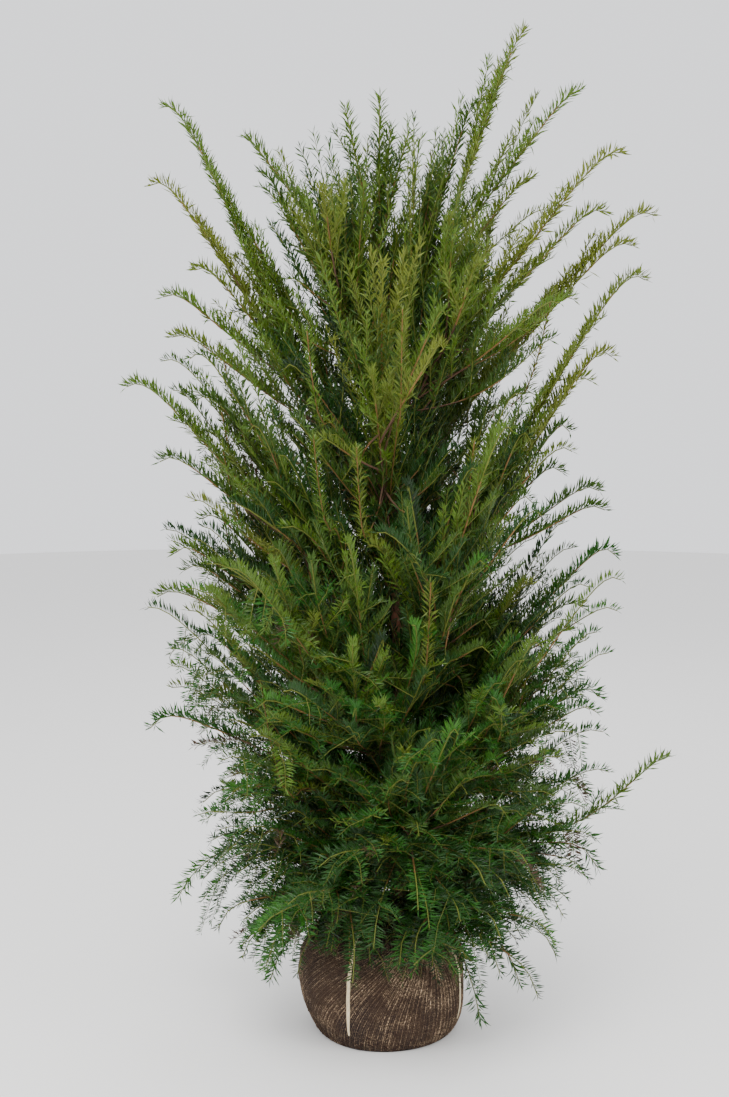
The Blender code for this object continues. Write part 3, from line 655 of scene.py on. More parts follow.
for number, name in enumerate(TIE_NAMES):
    turn = TIE_FIRST_TURN + number * math.tau / len(TIE_NAMES)
    across = Vector((-math.sin(turn), math.cos(turn), 0.0))
    ups = [TIE_UPS[0] + (TIE_UPS[1] - TIE_UPS[0]) * i / (TIE_STEPS - 1) for i in range(TIE_STEPS)]
    spine = [cloth_point(thread_at(turn, up), up, 0.0) for up in ups]
    run, first_strand, second_strand, band = 0.0, [], [], []
    for i, place in enumerate(spine):
        ahead = (spine[min(i + 1, TIE_STEPS - 1)] - spine[max(i - 1, 0)]).normalized()
        outward = ahead.cross(across).normalized()
        outward = outward if outward.dot(Vector((math.cos(turn), math.sin(turn), 0.4))) > 0 else -outward
        run += (place - spine[i - 1]).length if i else 0.0
        share = i / (TIE_STEPS - 1)
        twist_left = TIE_TWIST_SHARE + TIE_JOIN - share
        if twist_left >= 0:
            swing = math.tau * run / TIE_LAY
            full = faded(twist_left, 0.0, TIE_FLATTENING)
            offset = (across * math.cos(swing) + outward * math.sin(swing)) * (TIE_STRAND * full)
            middle = place + outward * (TIE_STRAND * TIE_STAND * full + TIE_BAND_DEPTH)
            strand = TIE_STRAND * (TIE_END_STRAND + (1 - TIE_END_STRAND) * full)
            first_strand.append(tie_ring(middle + offset, across, outward, strand, strand))
            second_strand.append(tie_ring(middle - offset, across, outward, strand, strand))
        if share >= TIE_TWIST_SHARE:
            grown = faded(share, TIE_TWIST_SHARE, TIE_WIDENING)
            narrow = 1.0 - TIE_NARROWING[2] * faded(share, *TIE_NARROWING[:2])
            wide = TIE_BAND_WIDTH * (TIE_FIRST_WIDTH + (1 - TIE_FIRST_WIDTH) * grown) * narrow
            band.append(tie_ring(place + outward * TIE_BAND_DEPTH, across, outward, wide, TIE_BAND_DEPTH))
    tie_mesh = turned_mesh(f"twine_{name}", first_strand, True)
    joined = bmesh.new()
    joined.from_mesh(tie_mesh)
    for rings in (second_strand, band):
        part = turned_mesh("strand", rings, True)
        joined.from_mesh(part)
        bpy.data.meshes.remove(part)
    bmesh.ops.recalc_face_normals(joined, faces=joined.faces)
    joined.to_mesh(tie_mesh)
    joined.free()
    tie = piece_of(f"twine_{name}", tie_mesh, twine.material)
    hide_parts(f"tie_{name}")
    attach(tie, "root")

# Trunk and boughs
# One straight stem of reddish, flaking bark flares a little where it stands on the ball. The boughs leave
# it on a spiral, and each tapers to where its mass of foliage begins.
TRUNK_TOP = 1.60
FOOT_RADIUS = 0.026
FLARE_HEIGHT = 0.045
FLARE_FALL = 3
TRUNK_RADIUS = 0.0175
TRUNK_TOP_RADIUS = 0.0045
TRUNK_TAPER = 0.8
TRUNK_TOP_X = -0.006
LEAN_FROM = 0.70
LEAN_LENGTH = 0.75
BACKWARD_BOW = 0.008
TRUNK_STEP = 0.008
TRUNK_SIDES = 26
BOUGH_STEP = 0.006
BOUGH_SIDES = 12
BOUGH_FOOT = 0.012  # how far out a bough is stout, and by what share
BOUGH_FOOT_SHARE = 0.55
LIMB_RELIEF = 0.0016
BOUGH_COUNT = 26
LOWEST_RANK = 0.03
HIGHEST_RANK = 0.95
LEADER_RANK = 1.0
GOLDEN_ANGLE = math.radians(137.508)
FIRST_TURN = math.radians(-52.5)
BOUGH_SHARE = 0.25
BOUGH_RADIUS = 0.0068
BOUGH_TIP_RADIUS = 0.0042
SLENDER_TRUNK = 0.011
LOWEST_LINE = -0.1
RANK_STEP = 0.1
# The lines that the boughs and shoots follow, by rank from -0.1 to 1.2: where each leaves the trunk, how
# steeply, how much it sags and how far it reaches
LINE_STARTS = (0.305, 0.315, 0.345, 0.38, 0.44, 0.53, 0.66, 0.83, 1.03, 1.22, 1.36, 1.46, 1.56, 1.80)
LINE_SLOPES = (-0.10, 0.02, 0.26, 0.54, 0.82, 1.02, 1.16, 1.26, 1.32, 1.50, 2.20, 3.60, 6.50, 14.0)
LINE_SAGS = (4.00, 1.60, 1.10, 0.70, 0.45, 0.30, 0.25, 0.25, 0.25, 0.35, 0.60, 0.80, 1.00, 1.00)
LINE_REACHES = (0.25, 0.28, 0.33, 0.36, 0.37, 0.37, 0.37, 0.37, 0.36, 0.30, 0.18, 0.10, 0.08, 0.04)
RANKS = LOWEST_LINE + RANK_STEP * np.arange(len(LINE_STARTS))
SIDES = ("right", "back_right", "back", "back_left", "left", "front_left", "front", "front_right")


def trunk_axis(height):
    """Where the middle of the trunk is at a height."""
    turn = math.pi * np.clip((height - LEAN_FROM) / LEAN_LENGTH, 0.0, 1.0)
    share = (1 - np.cos(turn)) / 2
    return TRUNK_FOOT_X + (TRUNK_TOP_X - TRUNK_FOOT_X) * share, BACKWARD_BOW * np.sin(turn)


def trunk_radius(height):
    """Radius of the trunk at a height, flared at its foot."""
    above = np.maximum(0.0, height - BALL_TOP)
    flare = (FOOT_RADIUS - TRUNK_RADIUS) * np.exp(-FLARE_FALL * above / FLARE_HEIGHT)
    share = np.minimum(above / (TRUNK_TOP - BALL_TOP), 1.0)
    return flare + TRUNK_RADIUS + (TRUNK_TOP_RADIUS - TRUNK_RADIUS) * share**TRUNK_TAPER


def at_rank(rank, values):
    """What a line of a rank has, from the values of the lines."""
    return np.interp(rank, RANKS, values)


def line(turn, rank, out):
    """Points on lines of given ranks that leave the trunk towards turn, at distances out from the trunk."""
    start = at_rank(rank, LINE_STARTS)
    x, y = trunk_axis(start)
    height = start + at_rank(rank, LINE_SLOPES) * out - at_rank(rank, LINE_SAGS) * out * out
    return np.stack(np.broadcast_arrays(x + out * np.cos(turn), y + out * np.sin(turn), height), axis=-1)


SEAT_TURNS = FIRST_TURN + GOLDEN_ANGLE * np.arange(BOUGH_COUNT)
SEAT_RANKS = LOWEST_RANK + (HIGHEST_RANK - LOWEST_RANK) * np.arange(BOUGH_COUNT) / (BOUGH_COUNT - 1)


def bough_name(index):
    """The number of a bough from the bottom up, and the side that it points to."""
    side = SIDES[round(SEAT_TURNS[index] / (math.pi / 4)) % len(SIDES)]
    return f"{index + 1:02d}_{side}"


def bough_end(index):
    """How far out a bough reaches before its mass begins."""
    return BOUGH_SHARE * at_rank(SEAT_RANKS[index], LINE_REACHES)


def slimness(index):
    """How slight a bough is, which is less than 1 only where the trunk is thin."""
    return min(1.0, trunk_radius(at_rank(SEAT_RANKS[index], LINE_STARTS)) / SLENDER_TRUNK)


BARK_RED = (0.150, 0.058, 0.030)
BARK_BROWN = (0.075, 0.040, 0.026)
BARK_GREY = (0.16, 0.115, 0.085)
bark = Finish("flaking_bark", BARK_RED, 0.8, 0.3)
flakes = bark.noise(bark.place((1.0, 1.0, 0.16)), 260.0, 4.0, 0.6)
bark_patches = bark.noise(bark.place((1.0, 1.0, 0.4)), 45.0, 3.0, 0.6)
bark_colour = bark.mixed(bark.ramp(bark_patches, 0.40, 0.60), BARK_BROWN, BARK_RED)
bark.put("Base Color", bark.mixed(bark.ramp(flakes, 0.56, 0.72) * 0.7, bark_colour, BARK_GREY))
bark.relief(flakes, 0.0012)

limb_tree = GeometryTree("limbs", {"Sides": "Int", "Relief": "Float", "Finish": "Material"})
limb_tube = limb_tree.tube(limb_tree.named("thickness"))
limb_spot = limb_tree.node("GeometryNodeInputPosition")
limb_out = limb_tree.node("GeometryNodeInputNormal")
long_spot = limb_spot.vector("MULTIPLY", (1.0, 1.0, 0.22))
ridges = limb_tree.noise(long_spot, 150.0, 2.0, 0.5) - 0.5
knots = limb_tree.noise(limb_spot, 28.0, 2.0, 0.5) - 0.5
lift = (ridges + knots * 1.4) * limb_tree.given("Relief") * limb_tree.named("thickness") * 60.0
limb_moved = limb_tree.node(
    "GeometryNodeSetPosition", {"Geometry": limb_tube, "Offset": limb_out.scaled(lift)}
)
limb_smooth = limb_tree.node("GeometryNodeSetShadeSmooth", (limb_moved, None, True))
limb_tree.end(limb_tree.finished(limb_smooth))

trunk_heights = np.arange(BALL_TOP - 0.002, TRUNK_TOP, TRUNK_STEP)
trunk_path = np.stack([*trunk_axis(trunk_heights), trunk_heights], axis=1)
trunk_source = strands("trunk_bark", [trunk_path], thickness=trunk_radius(trunk_heights))
trunk_mesh = limb_tree.applied(
    trunk_source, "trunk_bark", {"Sides": TRUNK_SIDES, "Relief": LIMB_RELIEF, "Finish": bark.material}
)
trunk_bark = piece_of("trunk_bark", trunk_mesh)
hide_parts("trunk")
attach(trunk_bark, "root")

bough_paths, bough_thickness = [], []
for index in range(BOUGH_COUNT):
    end, slim = bough_end(index), slimness(index)
    out = np.linspace(0.0, end, max(6, round(end / BOUGH_STEP)))
    path = line(SEAT_TURNS[index], SEAT_RANKS[index], out)
    bough_paths.append(path)
    share = out / end
    foot = np.exp(-out / BOUGH_FOOT) * BOUGH_FOOT_SHARE
    bough_thickness.append(slim * (BOUGH_RADIUS + (BOUGH_TIP_RADIUS - BOUGH_RADIUS) * share) * (1 + foot))
bough_source = strands("bough_bark", bough_paths, thickness=np.concatenate(bough_thickness))
bough_mesh = limb_tree.applied(
    bough_source, "bough_bark", {"Sides": BOUGH_SIDES, "Relief": LIMB_RELIEF, "Finish": bark.material}
)
bough_bark = piece_of("bough_bark", bough_mesh)
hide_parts(*(f"bough_{bough_name(index)}" for index in range(BOUGH_COUNT)))
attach(bough_bark, "root")

# Shoots and twigs
# Each bough carries on as a stem. Long shoots part from it early and run side by side along the same family
# of arching lines, and twigs part from those in the same way. A shoot is brown where it is old and green at
# its tip.
SEED = 11
GIRTH = 0.30  # makes a length of a line's direction
SPREAD = 1.80  # and of its rank
STEEPNESS = 0.6
SHOOT_LENGTH = 2.7  # of all the long shoots of a mass
FAN_STEPS = 9
FAN_ROUNDS = 5
FAN_FIRST = 0.8
FAN_RADIUS = 0.23
FAN_SPACE = 0.06
FAN_ROOM = 0.03
FAN_PULL = 0.12
FAN_PULLS = 20
FAN_POWER = 1.7
FAN_TOP = 1.86
REACH_SHARES = ((0.85, 1.00), (0.50, 0.65), (1.05, 1.30))
SHOOT_BASE = 0.40
NOD = 0.045
NOD_POWER = 7
NOD_SLOPE = 1.3
CURL = 0.085  # of a shoot's length
CURL_FROM = 5
CURL_TO = 13
TIP_RISE = 0.22  # of a low shoot's length
REACH_STEP = 0.01  # by which a shoot is shortened until it ends low enough

# The tips of the longest shoots from top to bottom, by how far they stand to the right and by their height
RIGHT_TIPS = (
    *((0.292, 2.115), (0.407, 1.996), (0.495, 1.869), (0.562, 1.743), (0.548, 1.610), (0.482, 1.451)),
    *((0.396, 1.294), (0.473, 1.129), (0.496, 1.033), (0.469, 0.726), (0.616, 0.595), (0.471, 0.348)),
)
LEFT_TIPS = (
    *((-0.283, 1.901), (-0.447, 1.962), (-0.476, 1.804), (-0.456, 1.575), (-0.439, 1.492), (-0.535, 1.388)),
    *((-0.468, 1.231), (-0.439, 1.037), (-0.478, 0.943), (-0.497, 0.658), (-0.442, 0.283)),
)
SKIRT_TIPS = ((-0.237, -0.10, 0.135), (0.293, -0.12, 0.132), (0.207, -0.15, 0.066))
LATE_TIP = (0.616, 0.0, 0.595)  # of the shoot that turns off from its stem late
SIDE_TIPS = (
    *((0.19, 1.97), (0.12, 1.85), (0.31, 1.82), (0.46, 1.75), (0.52, 1.68), (0.40, 1.57), (0.44, 1.40)),
    *((0.38, 1.21), (0.46, 1.17), (0.43, 0.92), (0.41, 0.78), (0.44, 0.52), (-0.25, 1.83), (-0.31, 1.73)),
    *((-0.39, 1.63), (-0.39, 1.36), (-0.38, 1.11), (-0.42, 1.00), (-0.40, 0.85), (-0.38, 0.72)),
)  # of the slighter shoots that stand out between them
TIP_SHIFTS = (0.0, -0.06, 0.06, -0.12, 0.12)  # along the sight line, as shares of its length to the plant
ENOUGH_ROOM = 0.04
MORE_ROOM = 0.005

# The radii of the wood, and how finely it is drawn
STEM_RADIUS = 0.0042
SHOOT_RADIUS = 0.0026
SIDE_RADIUS = 0.85 * SHOOT_RADIUS
WHIP_RADIUS = 0.0018
SHOOT_TIP_RADIUS = 0.0012
TWIG_RADIUS = 0.0014
TWIG_TIP_RADIUS = 0.0006
SHOOT_AGE = 1.15  # at its foot, with old bark near 1 and green bark near 0
SHOOT_YOUNGER = 1.20  # by which its tip is younger
LONG_YOUNGER = 0.95
TWIG_AGE = 0.55
TWIG_YOUNGER = 0.90
CURVE_STEP = 0.026  # between the points of a shoot
TWIG_POINTS = 3
TWIG_SIDES = 3

# The body of the crown, by rank
CROWN_REACHES = (0.34, 0.385, 0.405, 0.465, 0.475, 0.405, 0.385, 0.335, 0.325, 0.33, 0.33, 0.20, 0.10, 0.06)
CROWN_MIDDLES = (-0.02, -0.015, -0.01, 0.005, 0.005, -0.05, -0.045, -0.04, 0.005, 0.02, 0.025, 0.0, 0.0, 0.0)
CROWN_WIDEST = 0.43
BODY_REACHES = (0.82, 1.06)  # of the crown's reach, where the twigs' tips end
DEEPEST = 0.425  # to the front and the back
WIDEST = 0.50
FLOOR_SPACE = 0.035
BALL_SPACE = 0.018
BUSHY_BELOW = 0.62
BUSHY_FADE = 0.35
BUSHY_SHORTER = 0.35
BUSHY_WIDER = 0.8
BUSHY_NEEDLES = 0.16  # how much shorter and closer the needles are there
BUSHY_WOOD = 0.3
UPRIGHT_ABOVE = 0.35
UPRIGHT_FADE = 0.60
UPRIGHT_MOST = 0.85

# The whips, which are finer shoots between the long ones, with fewer where the crown is narrow
WHIP_COUNT = 810
WHIP_REACHES = ((0.80, 1.08), (0.40, 0.68), (0.54, 0.84))  # of the crown's reach
LONG_WHIP_EVERY = 7
LONG_WHIP_REACHES = (1.08, 1.30)
LONG_WHIP_RANKS = (0.35, 0.92)
WHIP_LEAST = 0.08
WHIP_BOTTOMS = (0.205, 0.28)  # heights that they end above
WHIP_TOPS = (1.45, 1.79)  # and below
WHIP_STARTS = (0.06, 1.60)  # of the bough's length
WHIP_SWAY = 0.018
WHIP_RISE_SWAY = 0.6  # of it, up and down
BUSHY_SWAY = 1.5
BUSHY_TWIGS = 0.55  # how much closer the twigs are low down
BUSHY_TIP = 0.6  # how much shorter the bare tips are there
WHIP_NOD = 0.40
WHIP_TWIG_STEP = 0.044
WHIP_BARE_TIP = 0.13
TOP_THINNING = (0.64, 0.22, 0.70)  # from which rank, over how many, and how much
INNER_WHIP_COUNT = 150  # short ones on the trunk itself
INNER_WHIP_REACHES = (0.08, 0.20)
INNER_WHIP_START = 0.01
INNER_WHIP_STEP = 0.018
INNER_WHIP_BARE = 0.02

# The skirt of low sprays that hang over the ball
SKIRT_COUNT = 110
SKIRT_RANK = 0.14
SKIRT_RINGS = 7
SKIRT_REACHES = (0.40, 0.95)
SKIRT_RISE = -0.12
SKIRT_TILTS = (-0.6, 0.5)
SKIRT_BOTTOMS = (0.17, 0.27)
SKIRT_TWIG_STEP = 0.022
SKIRT_BARE_TIP = 0.05

# The plumes, which are erect young shoots at the front and round the other sides
FRONT_PLUMES = (
    *((-0.102, 1.11, 0.19), (-0.035, 1.10, 0.18), (-0.141, 0.81, 0.18), (0.080, 0.81, 0.21)),
    *((-0.179, 0.56, 0.24), (0.033, 1.33, 0.21), (-0.115, 1.32, 0.18), (0.150, 1.12, 0.17)),
)  # x, height of the foot and length
PLUME_DEPTH = 0.27
PLUME_COUNT = 26
PLUME_HEIGHTS = (0.50, 1.35)
PLUME_LENGTHS = (0.15, 0.24)
PLUME_FRONT = 1.0  # the angle to each side of the front that the others leave free
PLUME_LEAN = 0.35
PLUME_STEPS = 9
# Where the trunk is seen between them: x, bottom, top and half the width
GLIMPSES = ((0.036, 0.84, 0.91, 0.012), (-0.010, 1.20, 1.26, 0.010))
GLIMPSE_DEPTH = -0.03

# The twigs, and how those of the longest shoots, of the boughs and of the leading shoots differ
TWIG_STEP = 0.030  # between the twigs along a shoot
TWIG_FIRST = 0.015
TWIG_LENGTHS = (0.09, 0.19)
TWIG_SHRINKING = (0.45, 0.75)  # of its length, for one at the shoot's tip, and how much more at the foot
TWIG_PARTING = math.radians(25)  # from the shoot to the twig's tip
TWIG_PARTINGS = (0.6, 1.5)  # shares of it
TWIG_UPRIGHTS = (0.5, 1.0)
TWIG_LIFTS = (0.0, 0.8)
TWIG_VIGOURS = (0.78, 1.0)
TWIG_NEAREST = 0.05  # the least distance out that makes a turn of its reach to the side
TWIG_OVERLAP = 0.030  # how far a twig may run into the next cell
TWIG_FREE = 0.35  # how far a twig grows on beyond the body of the crown
TWIG_NOD = 0.5
TWIG_TILTS = (-0.25, 1.2)
TWIG_TOP = 1.97
STEEPER = 1.8
BARE_TIP = 0.14
LONG_TWIG_STEP = 0.027  # on the longest shoots
LONG_FREE = 0.55
LONG_BARE_TIP = 0.16
SIDE_BARE_TIP = 0.20
LONG_BRIGHTNESS = 0.55
LONG_UPRIGHT = 0.60
LONG_VIGOUR = 1.12
INNER_STEP = 0.012  # between the twigs along a bough
INNER_FIRST = 0.02
# The twigs along a bough sit deep in the crown: their low brightness gives them the dark tints of painted
# shade
INNER_SHADE_BRIGHTNESS = 0.10
LEADER_TIPS = ((-0.005, 0.000, 1.985), (-0.076, -0.030, 1.955), (0.053, -0.020, 1.905), (0.020, 0.060, 1.930))
LEADER_STEP = 0.045
LEADER_FIRST = 0.03
LEADER_BARE_TIP = 0.09
LEADER_TWIG_LENGTHS = (0.08, 0.15)
LEADER_TWIG_SPREAD = 0.42
LEADER_TWIG_AHEAD = 0.9
LEADER_TWIG_SHARES = (0.4, 0.6)  # of a twig's length at the tip, and how much more at the foot

# How far apart the needles sit
SHOOT_SPACING = 0.0020
LONG_SPACING = 0.0016
TWIG_SPACINGS = (0.0056, 0.0023)  # inside and at the crown's side
LEAFY_SHARES = (0.40, 0.78)  # of the crown's reach, between them
SHOOT_BARE_SHARE = 0.35  # without needles, next to the bough
SHOOT_VIGOURS = (0.85, 1.0)


def line_of(places):
    """The turn, rank and distance out of the lines that pass through places."""
    low = np.full(places.shape[:-1], RANKS[0])
    high = np.full(places.shape[:-1], RANKS[-1])
    for _ in range(HALVINGS):
        rank = (low + high) / 2
        x, y = trunk_axis(at_rank(rank, LINE_STARTS))
        out = np.hypot(places[..., 0] - x, places[..., 1] - y)
        turn = np.arctan2(places[..., 1] - y, places[..., 0] - x)
        below = line(turn, rank, out)[..., 2] < places[..., 2]
        low, high = np.where(below, rank, low), np.where(below, high, rank)
    return turn, rank, out


def apart(turn, rank, other_turn, other_rank):
    """The distance between two lines, side by side and up."""
    return np.hypot(between(turn, other_turn) * GIRTH, (rank - other_rank) * SPREAD)


def room_in(turn, rank, index):
    """The room from lines to the edge of a mass's cell, negative outside it."""
    if index == BOUGH_COUNT:
        return (rank - LEADER_RANK) * SPREAD
    turn, rank = np.asarray(turn)[..., None], np.asarray(rank)[..., None]
    spans = apart(turn, rank, SEAT_TURNS, SEAT_RANKS)
    seats_apart = apart(SEAT_TURNS[index], SEAT_RANKS[index], SEAT_TURNS, SEAT_RANKS)
    seats_apart[index] = 1.0
    rooms = (spans**2 - spans[..., index : index + 1] ** 2) / (2 * seats_apart)
    rooms[..., index] = (LEADER_RANK - rank[..., 0]) * SPREAD
    return rooms.min(axis=-1)


def own_cell(turn, rank):
    """The mass whose cell a line runs in, and the room from there to the cell's edge."""
    if rank > LEADER_RANK:
        return BOUGH_COUNT, (rank - LEADER_RANK) * SPREAD
    index = int(apart(turn, rank, SEAT_TURNS, SEAT_RANKS).argmin())
    return index, float(room_in(turn, rank, index))


def fits(places, index):
    """Whether places are near enough to a mass's cell, and clear of the root ball and the floor."""
    turn, rank, out = line_of(places)
    height = places[..., 2]
    ball = np.vectorize(ball_radius)(np.clip(height, 0.0, BALL_TOP)) + BALL_SPACE
    beside_ball = (np.hypot(places[..., 0], places[..., 1]) < ball) & (height < BALL_TOP + BALL_SPACE)
    inside = room_in(turn, rank, index) * np.minimum(out / GIRTH, STEEPNESS) > -TWIG_OVERLAP
    return inside & ~beside_ball & (height > FLOOR_SPACE)


def nod_of(rank):
    """How far a shoot's tip nods, which is less on a steep line."""
    return NOD * NOD_SLOPE / np.maximum(at_rank(rank, LINE_SLOPES), NOD_SLOPE)


def roomiest(tip):
    """The line for a long shoot's tip, moved along the sight line to where it has the most room."""
    best = None
    for shift in TIP_SHIFTS:
        place = np.array(EYE) + (np.array(tip) - np.array(EYE)) * (1 - shift / EYE[1])
        nod = 0.0
        for _ in range(3):
            turn, rank, out = line_of(place + np.array((0.0, 0.0, nod)))
            nod = nod_of(rank)
        own, room = own_cell(float(turn), float(rank))
        from_above = tip == LATE_TIP and SEAT_RANKS[own] > rank
        room = -1.0 if from_above else min(room, ENOUGH_ROOM)
        if best is None or room > best[0] + MORE_ROOM:
            best = room, (float(turn), float(rank), float(out))
    return best[1]


long_tips = [(x, 0.0, height) for x, height in RIGHT_TIPS + LEFT_TIPS] + list(SKIRT_TIPS)
long_ends = {roomiest(tip): tip == LATE_TIP for tip in long_tips}
side_ends = [roomiest((x, 0.0, height)) for x, height in SIDE_TIPS]


def shoot_length(index, end):
    """About how long a shoot is from its mass's stem to its end."""
    turn, rank, reach, _ = end
    foot = line(SEAT_TURNS[index], SEAT_RANKS[index], reach * SHOOT_BASE)
    return float(np.linalg.norm(line(turn, rank, reach) - foot))


def fan(index, chance):
    """The turn, rank and reach that a mass's shoots end on, and whether they turn off late."""
    ends = [(*end, late) for end, late in long_ends.items() if own_cell(*end[:2])[0] == index]
    turn, rank = SEAT_TURNS[index], SEAT_RANKS[index]
    phase = chance.uniform(0, 2 * math.pi)
    step = 0
    total = sum(shoot_length(index, end) for end in ends)
    while total < SHOOT_LENGTH and step < FAN_ROUNDS * FAN_STEPS:
        angle = phase + step * GOLDEN_ANGLE
        spread = FAN_RADIUS * math.sqrt((step % FAN_STEPS + FAN_FIRST) / FAN_STEPS)
        step += 1
        side = turn + spread * math.cos(angle) / GIRTH
        height = max(rank + spread * math.sin(angle) / SPREAD, LOWEST_RANK)
        for _ in range(FAN_PULLS):
            own, room = own_cell(side, height)
            if own == index and room > FAN_ROOM:
                break
            side += between(turn, side) * FAN_PULL
            height += (rank - height) * FAN_PULL
        share = chance.uniform(*REACH_SHARES[step % len(REACH_SHARES)])
        end = (side, height, share * float(at_rank(height, LINE_REACHES)), False)
        if all(apart(side, height, *other[:2]) > FAN_SPACE for other in ends):
            ends.append(end)
            total += shoot_length(index, end)
    return sorted(ends, key=lambda end: -apart(turn, rank, *end[:2]))


def spiral(count, first=0.0):
    """Lines dealt out over the crown from bottom to top: the turn, rank and mass of each."""
    turns = GOLDEN_ANGLE * (np.arange(count) + first)
    ranks = LOWEST_RANK + (LEADER_RANK - LOWEST_RANK) * (np.arange(count) + 0.5) / count
    return [(turn, rank, own_cell(turn, rank)[0]) for turn, rank in zip(turns, ranks)]


whip_lines = spiral(WHIP_COUNT)
inner_lines = spiral(INNER_WHIP_COUNT, 0.5)
skirt_lines = []
for number in range(SKIRT_COUNT):
    skirt_line = number * GOLDEN_ANGLE, SKIRT_RANK * (number % SKIRT_RINGS) / (SKIRT_RINGS - 1)
    skirt_lines.append((*skirt_line, own_cell(*skirt_line)[0]))


def crown_reach(turn, rank):
    """How far the body of the crown reaches from the trunk. It stands about the middle of the ball."""
    x, _ = trunk_axis(at_rank(rank, LINE_STARTS))
    return at_rank(rank, CROWN_REACHES) + (at_rank(rank, CROWN_MIDDLES) - x) * np.cos(turn)


def outline(path):
    """Lengths along a path from its start."""
    return np.concatenate([[0.0], np.cumsum(np.linalg.norm(np.diff(path, axis=0), axis=1))])


plume_feet = [((x, -math.sqrt(PLUME_DEPTH**2 - x * x), height), length) for x, height, length in FRONT_PLUMES]
plume_chance = random.Random(SEED)
for number in range(PLUME_COUNT):
    turn = (number + 0.3) * GOLDEN_ANGLE
    height, length = plume_chance.uniform(*PLUME_HEIGHTS), plume_chance.uniform(*PLUME_LENGTHS)
    if abs(between(turn, -math.pi / 2)) > PLUME_FRONT:
        plume_feet.append(((PLUME_DEPTH * math.cos(turn), PLUME_DEPTH * math.sin(turn), height), length))
plumes = []
for foot, length in plume_feet:
    foot_line = [float(value) for value in line_of(np.array(foot))]
    plumes.append((own_cell(*foot_line[:2])[0], *foot_line, length))


def bushiness(rank):
    """1 low down, where the sprays are short and forked, to 0 where the shoots are long and plain."""
    return np.clip((BUSHY_BELOW - rank) / BUSHY_FADE, 0.0, 1.0)


class Shoot:
    """A shoot from one line to another: its points, the line that each is on, and how its twigs stand."""

    def __init__(
        self, start, end, out, reach, thickness, step=TWIG_STEP, bare=BARE_TIP, late=False, dense=False,
        sway=(0.0, 0.0), nod=1.0, rise=TIP_RISE, tilts=TWIG_TILTS,
    ):
        rough = float(np.linalg.norm(line(*start, out) - line(*end, reach)))
        self.share = np.linspace(0.0, 1.0, max(4, round(rough / CURVE_STEP)) + 1)
        swing = self.share**2 if late else 1 - (1 - self.share) ** FAN_POWER
        bow = np.sin(math.pi * self.share)
        self.turn = start[0] + between(end[0], start[0]) * swing + sway[0] * bow
        self.rank = start[1] + (end[1] - start[1]) * swing + sway[1] * bow
        self.out = out + (reach - out) * self.share
        self.path = line(self.turn, self.rank, self.out)
        curl = CURL * rough * nod_of(end[1]) / NOD
        self.path[:, 2] -= nod * nod_of(end[1]) * self.share**NOD_POWER
        self.path[:, 2] += curl * (self.share**CURL_FROM - self.share**CURL_TO)
        self.path[:, 2] += rise * bushiness(end[1]) * rough * self.share**2
        self.thickness = thickness + (SHOOT_TIP_RADIUS - thickness) * self.share
        self.step, self.bare, self.tilts, self.dense = step, bare, tilts, dense
        self.bushy = bushiness(end[1])
        standing = np.clip((end[1] - UPRIGHT_ABOVE) / UPRIGHT_FADE, 0.0, UPRIGHT_MOST)
        self.upright = max(standing, LONG_UPRIGHT if dense else 0.0)

    def cut(self, index, bottom):
        """Ends the shoot where it would leave the mass's space or hang too low."""
        inside = fits(self.path, index) & (self.path[:, 2] > bottom)
        count = len(inside) if inside.all() else int(np.argmin(inside))
        for name in ("share", "turn", "rank", "out", "path", "thickness"):
            setattr(self, name, getattr(self, name)[:count])
        return count > 3


